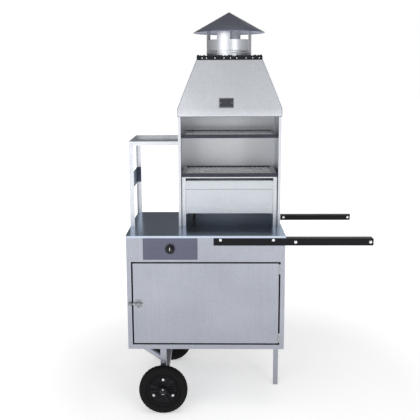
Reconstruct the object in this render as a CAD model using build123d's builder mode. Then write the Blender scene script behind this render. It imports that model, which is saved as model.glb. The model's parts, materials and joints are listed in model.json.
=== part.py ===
"""Push cart with a hooded skewer grill: a sheet-metal cabinet on two wheels and one leg.

Millimetres, +Z up, +X towards the push handles, -Y towards the door.
The origin is on the ground, under the middle of the overall length and depth.
"""
import os
from math import atan2, copysign, cos, hypot, sin

from build123d import *

os.makedirs("parts", exist_ok=True)

# ---- overall sizes -------------------------------------------------------------------
cabinet_width = 800.0
cabinet_depth = 580.0
worktop_height = 930.0
cabinet_clearance = 331.0      # ground to the cabinet's underside
handle_reach = 437.0           # handle tip beyond the cabinet's right side
cap_peak_height = 2048.0

# ---- sheet, tube and fits ------------------------------------------------------------
sheet = 1.2
base_tube = 20.0
tube_wall = 1.5
angle_wall = 2.0
seat_gap = 0.3                 # sheet laid beside sheet without touching
pin_clearance = 0.05           # radial, for shafts and hinge pins
bolt_clearance = 0.2           # radial, for bolts in their holes

# ---- cabinet -------------------------------------------------------------------------
worktop_overhang = 1.5
worktop_lip = 11.0
stile_width = 23.0
rail_height = 24.0
return_depth = 20.0
front_panel_height = 135.0     # from the door opening up to the worktop
door_gap = 8.0
corner_angle = 18.0

# ---- wheels and undercarriage --------------------------------------------------------
tyre_diameter = 250.0
tyre_width = 52.0
rim_diameter = 166.0
wheel_setback = 180.0          # axle behind the cabinet's left side
wheel_gap = 5.0                # tyre to the cabinet's front plane
axle_diameter = 16.0
hub_diameter = 44.0
bush_diameter = 22.0
rim_bolt_circle = 57.0         # radius
post_tube = 30.0
brace_tube = 20.0
brace_foot = 91.0              # middle of the brace's top from the cabinet's left side
brace_drop = 51.0
leg_tube = 25.0

# ---- grill housing and hood ----------------------------------------------------------
housing_left = 257.0           # from the cabinet's left side
housing_width = 536.0
housing_setback = 208.0        # from the cabinet's front
housing_depth = 362.0
housing_flange = 14.0
skirt_bottom = 1510.0
skirt_height = 42.0
hood_height = 246.0
hood_top_width = 340.0
hood_top_depth = 254.0
crown_height = 20.0
chimney_diameter = 235.0
chimney_height = 86.0
cap_diameter = 380.0
cap_height = 106.0
strap_width = 70.0
strap_turn = 16.0              # degrees, front strap off the middle

# ---- racks, grates and burner --------------------------------------------------------
rack_top = 1383.0
rack_rim = 21.0
rack_angle = 25.0
rack_band_bottom = 1112.0
rack_band_height = 87.0
upper_grate_top = 1415.0
lower_grate_top = 1210.0
grate_height = 18.0
grate_rail = 20.0
grate_width = 500.0
grate_depth = 300.0
grate_setback = 20.0           # behind the housing's front
stand_angle = 20.0
box_bottom = 996.0
box_height = 128.0
tray_depth = 30.0
tray_height = 43.0
tray_gap = 3.0                 # under the ember tray's front

# ---- door furniture, controls and handles --------------------------------------------
hinge_length = 50.0
hinge_barrel = 7.0
hinge_pin = 3.0
latch_height = 575.0
knob_offset = 222.0            # from the cabinet's left side
knob_height = 863.0
knob_diameter = 48.0
pipe_radius = 7.0
pipe_offset = 330.0            # riser, from the cabinet's left side
pipe_inset = 23.0              # riser, from the stand's back
plate_left = 85.0
plate_width = 275.0
plate_height = 111.0
handle_height = 38.0
handle_flange = 35.0
handle_wall = 3.0
handle_start = 440.0           # inner end, from the cabinet's left side
bolt_diameter = 8.0
bolt_head = 14.0
cabinet_bolts = (475.0, 739.0)  # from the cabinet's left side
cabinet_bolt_drop = 9.5        # below the handle's top
grip_bolts = (50.0, 422.0)     # beyond the cabinet's right side
grip_bolt_drop = 20.0

# ---- places worked out from the sizes above ------------------------------------------
overall_length = worktop_overhang + cabinet_width + handle_reach
left = worktop_overhang - overall_length / 2
right = left + cabinet_width
front = -cabinet_depth / 2
back = cabinet_depth / 2
under = cabinet_clearance
floor_level = under + base_tube + sheet
deck = worktop_height
under_deck = deck - sheet
opening_bottom = under + rail_height
opening_top = deck - front_panel_height
opening_left = left + stile_width
opening_right = right - stile_width
door_left = opening_left + door_gap
door_right = opening_right - door_gap
door_bottom = opening_bottom + door_gap
door_top = opening_top - door_gap

axle_x = left + wheel_setback
axle_z = tyre_diameter / 2
wheel_mid = front - wheel_gap - tyre_width / 2
washer_thickness = 2.0
axle_overrun = 12.0
hub_length = 2 * (wheel_gap + tyre_width / 2 - washer_thickness - 2 * seat_gap)
axle_end = abs(wheel_mid) + hub_length / 2 + axle_overrun

house_left = left + housing_left
house_right = house_left + housing_width
house_front = front + housing_setback
house_back = house_front + housing_depth
house_mid_x = (house_left + house_right) / 2
house_mid_y = (house_front + house_back) / 2
skirt_top = skirt_bottom + skirt_height
hood_top_level = skirt_top + hood_height
crown_top = hood_top_level + crown_height
chimney_top = crown_top + chimney_height
cap_rim = cap_peak_height - cap_height

grate_front = house_front + grate_setback
stand_left = house_mid_x - (grate_width + 2) / 2
stand_right = house_mid_x + (grate_width + 2) / 2
stand_back = grate_front + grate_depth
stand_top = lower_grate_top - grate_height - seat_gap
handle_top = deck - worktop_lip - seat_gap
knob_x = left + knob_offset
pipe_x = left + pipe_offset
pipe_y = stand_back - pipe_inset
pipe_hole = pipe_radius + seat_gap
stem_hole = pipe_radius + 1.0

# handle bolts, as X and Z: two through the cabinet, two in the part beyond it
bolt_rows = (
    (left + cabinet_bolts[0], handle_top - cabinet_bolt_drop),
    (left + cabinet_bolts[1], handle_top - cabinet_bolt_drop),
    (right + grip_bolts[0], handle_top - grip_bolt_drop),
    (right + grip_bolts[1], handle_top - grip_bolt_drop),
)


# ---- shapes used many times ----------------------------------------------------------
def block(x, y, z, mode=Mode.ADD):
    """A box given by where it starts and ends along each axis."""
    with BuildSketch(Plane.XY.offset(z[0]), mode=Mode.PRIVATE) as outline:
        with Locations(((x[0] + x[1]) / 2, (y[0] + y[1]) / 2)):
            Rectangle(x[1] - x[0], y[1] - y[0])
    extrude(outline.sketch, amount=z[1] - z[0], mode=mode)


def rod(start, direction, radius, length, mode=Mode.ADD):
    """A round bar from a point along a direction."""
    with BuildSketch(Plane(origin=start, z_dir=direction), mode=Mode.PRIVATE) as outline:
        Circle(radius)
    extrude(outline.sketch, amount=length, mode=mode)


def angle_bar(plane, leg_a, leg_b, wall, length):
    """An L-section: its corner on the plane's origin, signed legs along local X and Y."""
    wall_a = copysign(wall, leg_a)
    wall_b = copysign(wall, leg_b)
    with BuildSketch(plane, mode=Mode.PRIVATE) as outline:
        with BuildLine():
            Polyline(
                (0, 0),
                (leg_a, 0),
                (leg_a, wall_b),
                (wall_a, wall_b),
                (wall_a, leg_b),
                (0, leg_b),
                (0, 0),
            )
        make_face()
    extrude(outline.sketch, amount=length)


def square_tube(plane, side, wall, length):
    """A square tube along the plane's normal."""
    with BuildSketch(plane, mode=Mode.PRIVATE) as outline:
        Rectangle(side, side)
        Rectangle(side - 2 * wall, side - 2 * wall, mode=Mode.SUBTRACT)
    extrude(outline.sketch, amount=length)


def upright(x, y, z):
    """A plane facing up at a point."""
    return Plane(origin=(x, y, z), x_dir=(1, 0, 0), z_dir=(0, 0, 1))


def finish(piece, name):
    """Name a finished piece and write it out."""
    piece.part.label = name
    export_step(piece.part, f"parts/{name}.step")


# ---- worktop and cabinet -------------------------------------------------------------
def drill_handle_holes(face, rows, thickness):
    """Clearance holes for the handle bolts through a sheet or bar that starts at a face."""
    for bolt_x, bolt_z in rows:
        radius = bolt_diameter / 2 + bolt_clearance
        rod((bolt_x, face, bolt_z), (0, 1, 0), radius, thickness, Mode.SUBTRACT)


with BuildPart() as worktop:
    edge = worktop_overhang
    block((left - edge, right + edge), (front - edge, back + edge), (deck - worktop_lip, deck))
    fillet(worktop.edges().filter_by(Axis.Z), radius=edge)
    block(
        (left - seat_gap, right + seat_gap),
        (front - seat_gap, back + seat_gap),
        (deck - worktop_lip, under_deck),
        mode=Mode.SUBTRACT,
    )
    rod((pipe_x, pipe_y, deck - worktop_lip), (0, 0, 1), pipe_hole, worktop_lip, Mode.SUBTRACT)
finish(worktop, "worktop")

with BuildPart() as base_frame:
    block(
        (left + sheet, right - sheet),
        (front + sheet, back - sheet),
        (under, under + base_tube),
    )
    block(
        (left + sheet + base_tube, right - sheet - base_tube),
        (front + sheet + base_tube, back - sheet - base_tube),
        (under, under + base_tube),
        mode=Mode.SUBTRACT,
    )
finish(base_frame, "base_frame")

with BuildPart() as floor_panel:
    block(
        (left + sheet, right - sheet),
        (front + sheet, back - sheet),
        (floor_level - sheet, floor_level),
    )
finish(floor_panel, "floor_panel")

with BuildPart() as corner_posts:
    for corner_x, leg_x in ((left + sheet, corner_angle), (right - sheet, -corner_angle)):
        for corner_y, leg_y in ((front + sheet, corner_angle), (back - sheet, -corner_angle)):
            plane = upright(corner_x, corner_y, floor_level)
            angle_bar(plane, leg_x, leg_y, angle_wall, under_deck - floor_level)
finish(corner_posts, "corner_posts")

with BuildPart() as door_frame:
    block((left, right), (front, front + sheet), (under, opening_top))
    block(
        (opening_left - sheet, opening_right + sheet),
        (front + sheet, front + return_depth),
        (opening_bottom - sheet, opening_top),
    )
    block(
        (opening_left, opening_right),
        (front, front + return_depth),
        (opening_bottom, opening_top),
        mode=Mode.SUBTRACT,
    )
finish(door_frame, "door_frame")

with BuildPart() as front_panel:
    block((left, right), (front, front + sheet), (opening_top, under_deck))
    block(
        (opening_left, opening_right),
        (front + sheet, front + return_depth),
        (opening_top, opening_top + sheet),
    )
    rod((knob_x, front, knob_height), (0, 1, 0), stem_hole, sheet, Mode.SUBTRACT)
    drill_handle_holes(front, bolt_rows[:2], sheet)
finish(front_panel, "front_panel")

for name, side_x in (("side_panel_left", left), ("side_panel_right", right - sheet)):
    with BuildPart() as side_panel:
        block((side_x, side_x + sheet), (front + sheet, back - sheet), (under, under_deck))
    finish(side_panel, name)

with BuildPart() as back_panel:
    block((left, right), (back - sheet, back), (under, under_deck))
    drill_handle_holes(back - sheet, bolt_rows[:2], sheet)
finish(back_panel, "back_panel")

# ---- door, hinges and slide bolt -----------------------------------------------------
hinge_x = (door_right + opening_right) / 2
hinge_y = front - 3.0
hinge_levels = (door_top - hinge_length - 4.0, door_bottom + 6.0)
knuckle = hinge_length / 3
knuckle_gap = 0.4
leaf_wall = 1.5
leaf_start = hinge_y + hinge_barrel / 2 + 0.5
leaf_end = front + return_depth - 2.0
pin_overrun = 1.0
pin_head = 1.5

with BuildPart() as door:
    block((door_left, door_right), (front, front + return_depth), (door_bottom, door_top))
    block(
        (door_left + sheet, door_right - sheet),
        (front + sheet, front + return_depth),
        (door_bottom + sheet, door_top - sheet),
        mode=Mode.SUBTRACT,
    )
finish(door, "door")


def hinge_leaf(plate_x, centre_sign, segments):
    """One side of both hinges: a plate in the gap and its share of the barrel."""
    inner = sorted((plate_x, plate_x + centre_sign * leaf_wall))
    for level in hinge_levels:
        block(inner, (leaf_start, leaf_end), (level, level + hinge_length))
        for start, end in segments:
            low = level + start * knuckle + knuckle_gap / 2
            high = level + end * knuckle - knuckle_gap / 2
            block(inner, (hinge_y, leaf_start), (low, high))
            rod((hinge_x, hinge_y, low), (0, 0, 1), hinge_barrel / 2, high - low)
    for level in hinge_levels:
        rod(
            (hinge_x, hinge_y, level - pin_overrun),
            (0, 0, 1),
            hinge_pin / 2 + pin_clearance,
            hinge_length + 2 * pin_overrun,
            Mode.SUBTRACT,
        )


with BuildPart() as hinge_frame_leaves:
    hinge_leaf(opening_right, -1, ((0, 1), (2, 3)))
finish(hinge_frame_leaves, "hinge_frame_leaves")

with BuildPart() as hinge_door_leaves:
    hinge_leaf(door_right, 1, ((1, 2),))
finish(hinge_door_leaves, "hinge_door_leaves")

with BuildPart() as hinge_pins:
    for level in hinge_levels:
        foot = (hinge_x, hinge_y, level - pin_overrun)
        rod(foot, (0, 0, 1), hinge_pin / 2, hinge_length + 2 * pin_overrun)
        rod((hinge_x, hinge_y, level + hinge_length), (0, 0, 1), hinge_barrel / 2 - 0.5, pin_head)
finish(hinge_pins, "hinge_pins")

latch_left = door_left + 10.0
latch_width = 33.0
latch_tall = 42.0
bolt_bar = 4.0                 # radius of the sliding bolt
bolt_y = front - sheet - bolt_bar - seat_gap
bolt_tip = opening_left + 1.0
loop_wall = 1.5
loop_width = 7.0
loop_out = bolt_y - bolt_bar - pin_clearance - loop_wall
bolt_tail = 4.0                # left standing out of the right loop
pull_radius = 2.0
pull_length = 12.0
keeper_half = 11.0
keeper_clearance = 0.5         # on each side, so the bolt finds its way into the square hole


def bolt_loop(x):
    """A strap bent over the sliding bolt."""
    reach = bolt_bar + pin_clearance + loop_wall
    block(x, (loop_out, front - sheet), (latch_height - reach, latch_height + reach))


with BuildPart() as latch_plate:
    block(
        (latch_left, latch_left + latch_width),
        (front - sheet, front),
        (latch_height - latch_tall / 2, latch_height + latch_tall / 2),
    )
    bolt_loop((latch_left, latch_left + loop_width))
    bolt_loop((latch_left + latch_width - loop_width, latch_left + latch_width))
    rod(
        (latch_left - 1, bolt_y, latch_height),
        (1, 0, 0),
        bolt_bar + pin_clearance,
        latch_width + 2,
        Mode.SUBTRACT,
    )
finish(latch_plate, "latch_plate")

with BuildPart() as latch_bolt:
    tail = latch_left + latch_width + bolt_tail
    rod((bolt_tip, bolt_y, latch_height), (1, 0, 0), bolt_bar, tail - bolt_tip)
    pull_x = latch_left + latch_width - loop_width - pull_radius - 2 * seat_gap
    rod((pull_x, bolt_y, latch_height), (0, -1, 0), pull_radius, pull_length)
finish(latch_bolt, "latch_bolt")

with BuildPart() as latch_keeper:
    keeper_left = left + 5.0
    keeper_right = opening_left - 0.4
    block(
        (keeper_left, keeper_right),
        (front - sheet, front),
        (latch_height - keeper_half, latch_height + keeper_half),
    )
    bolt_loop((keeper_left + 4, keeper_right - 2))
    half_hole = bolt_bar + keeper_clearance
    block(
        (keeper_left - 1, keeper_left - 1 + stile_width),
        (bolt_y - half_hole, bolt_y + half_hole),
        (latch_height - half_hole, latch_height + half_hole),
        Mode.SUBTRACT,
    )
finish(latch_keeper, "latch_keeper")

# ---- gas control, pipe and burner ----------------------------------------------------
plate_thickness = 1.5
plate_top = handle_top - 1.0
burner_x = (stand_left + stand_right) / 2
burner_y = (grate_front + stand_back) / 2
burner_z = box_bottom + 45.0
valve_body = 24.0
valve_y = front + sheet + valve_body / 2
pipe_level = knob_height - 10.0
stem_radius = 4.0
stem_length = 24.0
nut_radius = 7.0
nut_length = 10.0
nozzle_radius = 5.0
nozzle_length = 22.0

with BuildPart() as control_plate:
    block(
        (left + plate_left, left + plate_left + plate_width),
        (front - plate_thickness, front),
        (plate_top - plate_height, plate_top),
    )
    rod(
        (knob_x, front - plate_thickness, knob_height),
        (0, 1, 0),
        stem_hole,
        plate_thickness,
        Mode.SUBTRACT,
    )
finish(control_plate, "control_plate")

with BuildPart() as gas_valve:
    block(
        (knob_x - valve_body / 2, knob_x + valve_body / 2),
        (front + sheet, front + sheet + valve_body),
        (knob_height - valve_body, knob_height + valve_body / 2),
    )
    stem_start = (knob_x, front + sheet, knob_height)
    nut_x = knob_x - valve_body / 2
    rod(stem_start, (0, -1, 0), stem_radius, stem_length)
    rod(stem_start, (0, -1, 0), pipe_radius, plate_thickness + sheet + 2.0)
    rod((nut_x, valve_y, knob_height), (-1, 0, 0), nut_radius, nut_length)
    rod((nut_x - nut_length, valve_y, knob_height), (-1, 0, 0), nozzle_radius, nozzle_length)
finish(gas_valve, "gas_valve")

knob_back = front - plate_thickness - 5.2
knob_depth = 22.0
knob_skirt = 8.0
bar_half = 4.0                 # finger bar across the knob
with BuildPart() as knob:
    with BuildSketch(Plane(origin=(knob_x, knob_back, knob_height), z_dir=(0, -1, 0))):
        Circle(knob_diameter / 2)
    extrude(amount=knob_skirt, taper=4)
    with BuildSketch(Plane(origin=(knob_x, knob_back - knob_skirt, knob_height), z_dir=(0, -1, 0))):
        Circle(knob_diameter / 2 - 7.0)
    extrude(amount=knob_depth - knob_skirt, taper=6)
    block(
        (knob_x - bar_half, knob_x + bar_half),
        (knob_back - knob_depth - 3.0, knob_back - knob_skirt),
        (knob_height - knob_diameter / 2 + bar_half, knob_height + knob_diameter / 2 - bar_half),
    )
    rod(
        (knob_x, knob_back, knob_height),
        (0, -1, 0),
        stem_radius + pin_clearance,
        18.0,
        Mode.SUBTRACT,
    )
finish(knob, "knob")

valve_back = front + sheet + valve_body
pipe_bend = 20.0
tube_start = burner_x - 150.0
with BuildPart() as gas_pipe:
    with BuildLine():
        FilletPolyline(
            (knob_x, valve_back, pipe_level),
            (knob_x, pipe_y, pipe_level),
            (pipe_x, pipe_y, pipe_level),
            (pipe_x, pipe_y, burner_z),
            (tube_start, pipe_y, burner_z),
            radius=pipe_bend,
        )
    with BuildSketch(Plane(origin=(knob_x, valve_back, pipe_level), z_dir=(0, 1, 0))):
        Circle(pipe_radius)
    sweep()
finish(gas_pipe, "gas_pipe")

burner_reach = 320.0
burner_tube = 12.0             # radius
front_tube_y = burner_y - 60.0
foot_height = burner_z - box_bottom - sheet
with BuildPart() as burner:
    rod((tube_start, pipe_y, burner_z), (1, 0, 0), burner_tube, burner_reach)
    rod((tube_start, front_tube_y, burner_z), (1, 0, 0), burner_tube, burner_reach)
    rod((burner_x, front_tube_y, burner_z), (0, 1, 0), 9.0, pipe_y - front_tube_y)
    for foot_x in (tube_start + 30.0, tube_start + burner_reach - 30.0):
        for foot_y in (front_tube_y, pipe_y):
            rod((foot_x, foot_y, box_bottom + sheet), (0, 0, 1), 4.0, foot_height)
finish(burner, "burner")

# ---- push handles and their bolts ----------------------------------------------------
handle_tip = right + handle_reach
flange_start = right + worktop_overhang + 2.0

for name, face, outward in (("handle_front", front, -1), ("handle_rear", back, 1)):
    with BuildPart() as handle:
        block(
            (left + handle_start, handle_tip),
            sorted((face, face + outward * handle_wall)),
            (handle_top - handle_height, handle_top),
        )
        fillet(handle.edges().filter_by(Axis.Y), radius=4.0)
        block(
            (flange_start, handle_tip - 4.0),
            sorted((face, face - outward * handle_flange)),
            (handle_top - handle_wall, handle_top),
        )
        drill_handle_holes(min(face, face + outward * handle_wall), bolt_rows, handle_wall)
    finish(handle, name)


head_height = 3.0
nut_height = 6.0
thread_beyond = 8.0            # shank past the clamped parts


def bolt(x, z, face, outward, grip):
    """A round-headed bolt with its nut on the far side of the grip."""
    head_y = face + outward * handle_wall
    rod((x, head_y, z), (0, outward, 0), bolt_head / 2, head_height)
    rod((x, head_y, z), (0, -outward, 0), bolt_diameter / 2, grip + thread_beyond)
    with BuildSketch(
        Plane(origin=(x, head_y - outward * grip, z), z_dir=(0, -outward, 0)), mode=Mode.PRIVATE
    ) as nut:
        RegularPolygon(radius=bolt_head / 2, side_count=6)
    extrude(nut.sketch, amount=nut_height)


with BuildPart() as handle_bolts:
    for face, outward in ((front, -1), (back, 1)):
        for bolt_x, bolt_z in bolt_rows:
            clamped = handle_wall + (sheet if bolt_x < right else 0)
            bolt(bolt_x, bolt_z, face, outward, clamped)
finish(handle_bolts, "handle_bolts")

# ---- undercarriage -------------------------------------------------------------------
post_bottom = axle_z - post_tube / 2
post_centres = (front + post_tube / 2, back - post_tube / 2)
axle_hole = axle_diameter / 2 + pin_clearance

with BuildPart() as wheel_posts:
    for post_y in post_centres:
        square_tube(upright(axle_x, post_y, post_bottom), post_tube, tube_wall, under - post_bottom)
        rod((axle_x, post_y - post_tube, axle_z), (0, 1, 0), axle_hole, 2 * post_tube, Mode.SUBTRACT)
finish(wheel_posts, "wheel_posts")

with BuildPart() as axle_beam:
    beam_start = front + post_tube
    plane = Plane(origin=(axle_x, beam_start, axle_z), x_dir=(1, 0, 0), z_dir=(0, 1, 0))
    square_tube(plane, post_tube, tube_wall, cabinet_depth - 2 * post_tube)
finish(axle_beam, "axle_beam")

cotter_inset = 5.0
cotter_radius = 1.6
with BuildPart() as axle:
    rod((axle_x, -axle_end, axle_z), (0, 1, 0), axle_diameter / 2, 2 * axle_end)
    for end in (-1, 1):
        rod(
            (axle_x, end * (axle_end - cotter_inset), axle_z - axle_diameter),
            (0, 0, 1),
            cotter_radius + pin_clearance,
            2 * axle_diameter,
            Mode.SUBTRACT,
        )
finish(axle, "axle")

with BuildPart() as cotter_pins:
    for end in (-1, 1):
        pin_y = end * (axle_end - cotter_inset)
        rod((axle_x, pin_y, axle_z - 13.0), (0, 0, 1), cotter_radius, 24.0)
        rod((axle_x - 4.0, pin_y, axle_z + 12.5), (1, 0, 0), cotter_radius, 8.0)  # bent head
finish(cotter_pins, "cotter_pins")

hub_inner = abs(wheel_mid) - hub_length / 2
hub_outer = abs(wheel_mid) + hub_length / 2
with BuildPart() as axle_washers:
    for end in (-1, 1):
        for start in (hub_inner - seat_gap - washer_thickness, hub_outer + seat_gap):
            with BuildSketch(
                Plane(origin=(axle_x, end * start, axle_z), z_dir=(0, end, 0)), mode=Mode.PRIVATE
            ) as ring:
                Circle(axle_diameter)
                Circle(axle_hole, mode=Mode.SUBTRACT)
            extrude(ring.sketch, amount=washer_thickness)
finish(axle_washers, "axle_washers")

brace_length = hypot(wheel_setback - post_tube / 2 - brace_foot, brace_drop)
brace_pitch = atan2(brace_drop, wheel_setback - post_tube / 2 - brace_foot)
brace_half = brace_tube / 2 / sin(brace_pitch)
brace_rise = brace_tube / 2 / cos(brace_pitch)


def brace_outline(shrink, overrun):
    """The brace seen from the front, cut level at the cabinet and upright at the post."""
    half = brace_half * shrink
    rise = brace_rise * shrink
    run_x = overrun * cos(brace_pitch)
    run_z = overrun * sin(brace_pitch)
    top_x = left + brace_foot - run_x
    top_z = under + run_z
    end_x = axle_x - post_tube / 2 + run_x
    end_z = under - brace_drop - run_z
    Polyline(
        (top_x - half, top_z),
        (top_x + half, top_z),
        (end_x, end_z + rise),
        (end_x, end_z - rise),
        (top_x - half, top_z),
    )


with BuildPart() as braces:
    for post_y in post_centres:
        start = Plane(origin=(0, post_y - brace_tube / 2, 0), x_dir=(1, 0, 0), z_dir=(0, -1, 0))
        with BuildSketch(start):
            with BuildLine():
                brace_outline(1.0, 0.0)
            make_face()
        extrude(amount=-brace_tube)
        inner = Plane(
            origin=(0, post_y - brace_tube / 2 + tube_wall, 0), x_dir=(1, 0, 0), z_dir=(0, -1, 0)
        )
        with BuildSketch(inner):
            with BuildLine():
                brace_outline(1.0 - 2 * tube_wall / brace_tube, 40.0)
            make_face()
        extrude(amount=-(brace_tube - 2 * tube_wall), mode=Mode.SUBTRACT)
finish(braces, "braces")

foot_plate = 3.0
with BuildPart() as support_leg:
    leg_x = right - leg_tube / 2
    square_tube(upright(leg_x, 0, foot_plate), leg_tube, tube_wall, under - foot_plate)
    block((leg_x - leg_tube / 2, right), (-leg_tube / 2, leg_tube / 2), (0, foot_plate))
finish(support_leg, "support_leg")

# ---- wheels --------------------------------------------------------------------------
tyre_shoulder = 14.0
web_half = 8.0                 # half the rim's web
lip_half = 19.0                # half the rim's edge
rib_count = 24
rib_rise = 5.0
rib_top = web_half + rib_rise
for place, end in (("front", -1), ("rear", 1)):
    centre = (axle_x, end * abs(wheel_mid), axle_z)
    facing = Plane(origin=centre, x_dir=(1, 0, 0), z_dir=(0, end, 0))
    section = Plane(origin=centre, x_dir=(0, 0, 1), z_dir=(1, 0, 0))
    spin = Axis(centre, (0, 1, 0))

    with BuildPart() as tyre:
        with BuildSketch(section):
            with Locations(((rim_diameter + tyre_diameter) / 4, 0)):
                RectangleRounded((tyre_diameter - rim_diameter) / 2, tyre_width, tyre_shoulder)
        revolve(axis=spin)
        with BuildSketch(section):
            with Locations((tyre_diameter / 2, 0)):
                Rectangle(3.0, 4.0)
            with Locations((tyre_diameter / 2, 10.0), (tyre_diameter / 2, -10.0)):
                Rectangle(3.0, 2.5)
        revolve(axis=spin, mode=Mode.SUBTRACT)
    finish(tyre, f"tyre_{place}")

    rim_edge = rim_diameter / 2 - seat_gap
    with BuildPart() as rim:
        with BuildSketch(section):
            with BuildLine():
                Polyline(
                    (bush_diameter / 2, hub_length / 2),
                    (hub_diameter / 2, hub_length / 2),
                    (hub_diameter / 2, web_half),
                    (rim_edge - 10.0, web_half),
                    (rim_edge - 4.0, lip_half),
                    (rim_edge, lip_half),
                    (rim_edge, -lip_half),
                    (rim_edge - 4.0, -lip_half),
                    (rim_edge - 10.0, -web_half),
                    (hub_diameter / 2, -web_half),
                    (hub_diameter / 2, -hub_length / 2),
                    (bush_diameter / 2, -hub_length / 2),
                    (bush_diameter / 2, hub_length / 2),
                )
            make_face()
        revolve(axis=spin)
        for side in (1, -1):
            rib_plane = Plane(origin=centre, x_dir=(1, 0, 0), z_dir=(0, side, 0)).offset(web_half)
            with BuildSketch(rib_plane):
                with PolarLocations((hub_diameter + rim_diameter) / 4 - 2.0, rib_count):
                    Rectangle((rim_diameter - hub_diameter) / 2 - 8.0, 2.0)
            extrude(amount=rib_rise)
        with BuildSketch(facing.offset(-hub_length / 2)):
            with PolarLocations(rim_bolt_circle, 3, start_angle=90):
                Circle(bolt_diameter / 2 + bolt_clearance)
        extrude(amount=hub_length, mode=Mode.SUBTRACT)
    finish(rim, f"rim_{place}")

    with BuildPart() as hub_bush:
        with BuildSketch(facing.offset(-hub_length / 2)):
            Circle(bush_diameter / 2)
            Circle(axle_hole, mode=Mode.SUBTRACT)
        extrude(amount=hub_length)
    finish(hub_bush, f"hub_bush_{place}")

    with BuildPart() as rim_bolts:
        with BuildSketch(facing.offset(-rib_top - nut_height)):
            with PolarLocations(rim_bolt_circle, 3, start_angle=90):
                Circle(bolt_diameter / 2)
        extrude(amount=2 * rib_top + nut_height + head_height)
        with BuildSketch(facing.offset(rib_top)):
            with PolarLocations(rim_bolt_circle, 3, start_angle=90):
                Circle(bolt_head / 2 - 0.5)
        extrude(amount=head_height + 1.0)
        with BuildSketch(facing.offset(-rib_top)):
            with PolarLocations(rim_bolt_circle, 3, start_angle=90):
                RegularPolygon(radius=bolt_head / 2, side_count=6)
        extrude(amount=-nut_height)
    finish(rim_bolts, f"rim_bolts_{place}")

# ---- side rack -----------------------------------------------------------------------
rack_left = left - worktop_overhang
rack_front = house_front
rack_back = house_back
rack_right = house_left - seat_gap
post_wall = 2.0

with BuildPart() as rack_posts:
    post_length = rack_top - rack_rim - deck
    angle_bar(upright(rack_left, rack_front, deck), rack_angle, rack_angle, post_wall, post_length)
    angle_bar(upright(rack_left, rack_back, deck), rack_angle, -rack_angle, post_wall, post_length)
finish(rack_posts, "rack_posts")

with BuildPart() as rack_tray:
    tray_levels = (rack_top - rack_rim, rack_top)
    block((rack_left, rack_right), (rack_front, rack_back), tray_levels)
    block(
        (rack_left + post_wall, rack_right - post_wall),
        (rack_front + post_wall, rack_back - post_wall),
        (rack_top - rack_rim + post_wall, rack_top),
        mode=Mode.SUBTRACT,
    )
finish(rack_tray, "rack_tray")

with BuildPart() as rack_band:
    band_levels = (rack_band_bottom, rack_band_bottom + rack_band_height)
    inner_x = rack_left + post_wall
    inner_y = rack_back - post_wall
    block((inner_x, inner_x + post_wall), (rack_front + post_wall, inner_y), band_levels)
    block((inner_x, rack_left + rack_angle), (inner_y - post_wall, inner_y), band_levels)
finish(rack_band, "rack_band")

# ---- grill housing -------------------------------------------------------------------
wall_levels = (deck, skirt_top - 2.0)
flange_hem = 8.0
for name, wall_x, inward in (
    ("housing_left", house_left, 1),
    ("housing_right", house_right, -1),
):
    with BuildPart() as housing_side:
        edge_x = wall_x + inward * housing_flange
        block(
            sorted((wall_x, wall_x + inward * sheet)),
            (house_front, house_back),
            wall_levels,
        )
        block(
            sorted((wall_x, edge_x)),
            (house_front, house_front + sheet),
            wall_levels,
        )
        block(
            sorted((edge_x - inward * sheet, edge_x)),
            (house_front, house_front + flange_hem),
            wall_levels,
        )
    finish(housing_side, name)

with BuildPart() as housing_back:
    block(
        (house_left + sheet, house_right - sheet),
        (house_back - sheet, house_back),
        wall_levels,
    )
finish(housing_back, "housing_back")

# ---- hood: four folded sheets cut from one tapering shell -----------------------------
cut_margin = 5.0               # cutting shapes run past what they cut
skirt_overhang = sheet + seat_gap
skirt_width = housing_width + 2 * skirt_overhang
skirt_depth = housing_depth + 2 * skirt_overhang


def hood_solid(inset, low, high):
    """The hood's outline as a solid: an upright skirt under a tapering roof."""
    with BuildSketch(upright(house_mid_x, house_mid_y, skirt_top), mode=Mode.PRIVATE) as eaves:
        Rectangle(skirt_width - 2 * inset, skirt_depth - 2 * inset)
    with BuildSketch(upright(house_mid_x, house_mid_y, hood_top_level), mode=Mode.PRIVATE) as top:
        Rectangle(hood_top_width - 2 * inset, hood_top_depth - 2 * inset)
    loft([eaves.sketch, top.sketch])
    extrude(eaves.sketch, amount=low - skirt_top)
    if high > hood_top_level:
        extrude(top.sketch, amount=high - hood_top_level)


with BuildPart() as hood_void:
    hood_solid(sheet, skirt_bottom - cut_margin, hood_top_level + cut_margin)

with BuildPart() as hood_shell:
    hood_solid(0.0, skirt_bottom, hood_top_level)
    add(hood_void.part, mode=Mode.SUBTRACT)

hood_slope_y = (skirt_depth - hood_top_depth) / 2
reach = skirt_width
inner_front_y = house_mid_y - skirt_depth / 2 + sheet
inner_back_y = house_mid_y + skirt_depth / 2 - sheet


def wedge(face_y, outward):
    """Everything outside the hood's inner front or back face."""
    far_y = face_y + outward * 300.0
    top_y = face_y - outward * hood_slope_y
    with BuildSketch(
        Plane(origin=(house_mid_x - reach, 0, 0), x_dir=(0, 1, 0), z_dir=(1, 0, 0)),
        mode=Mode.PRIVATE,
    ) as outline:
        with BuildLine():
            Polyline(
                (face_y, skirt_bottom - cut_margin),
                (face_y, skirt_top),
                (top_y, hood_top_level),
                (top_y, hood_top_level + cut_margin),
                (far_y, hood_top_level + cut_margin),
                (far_y, skirt_bottom - cut_margin),
                (face_y, skirt_bottom - cut_margin),
            )
        make_face()
    return outline.sketch


with BuildPart() as hood_front:
    add(hood_shell.part)
    extrude(wedge(inner_front_y, -1), amount=2 * reach, mode=Mode.INTERSECT)
finish(hood_front, "hood_front")

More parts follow.
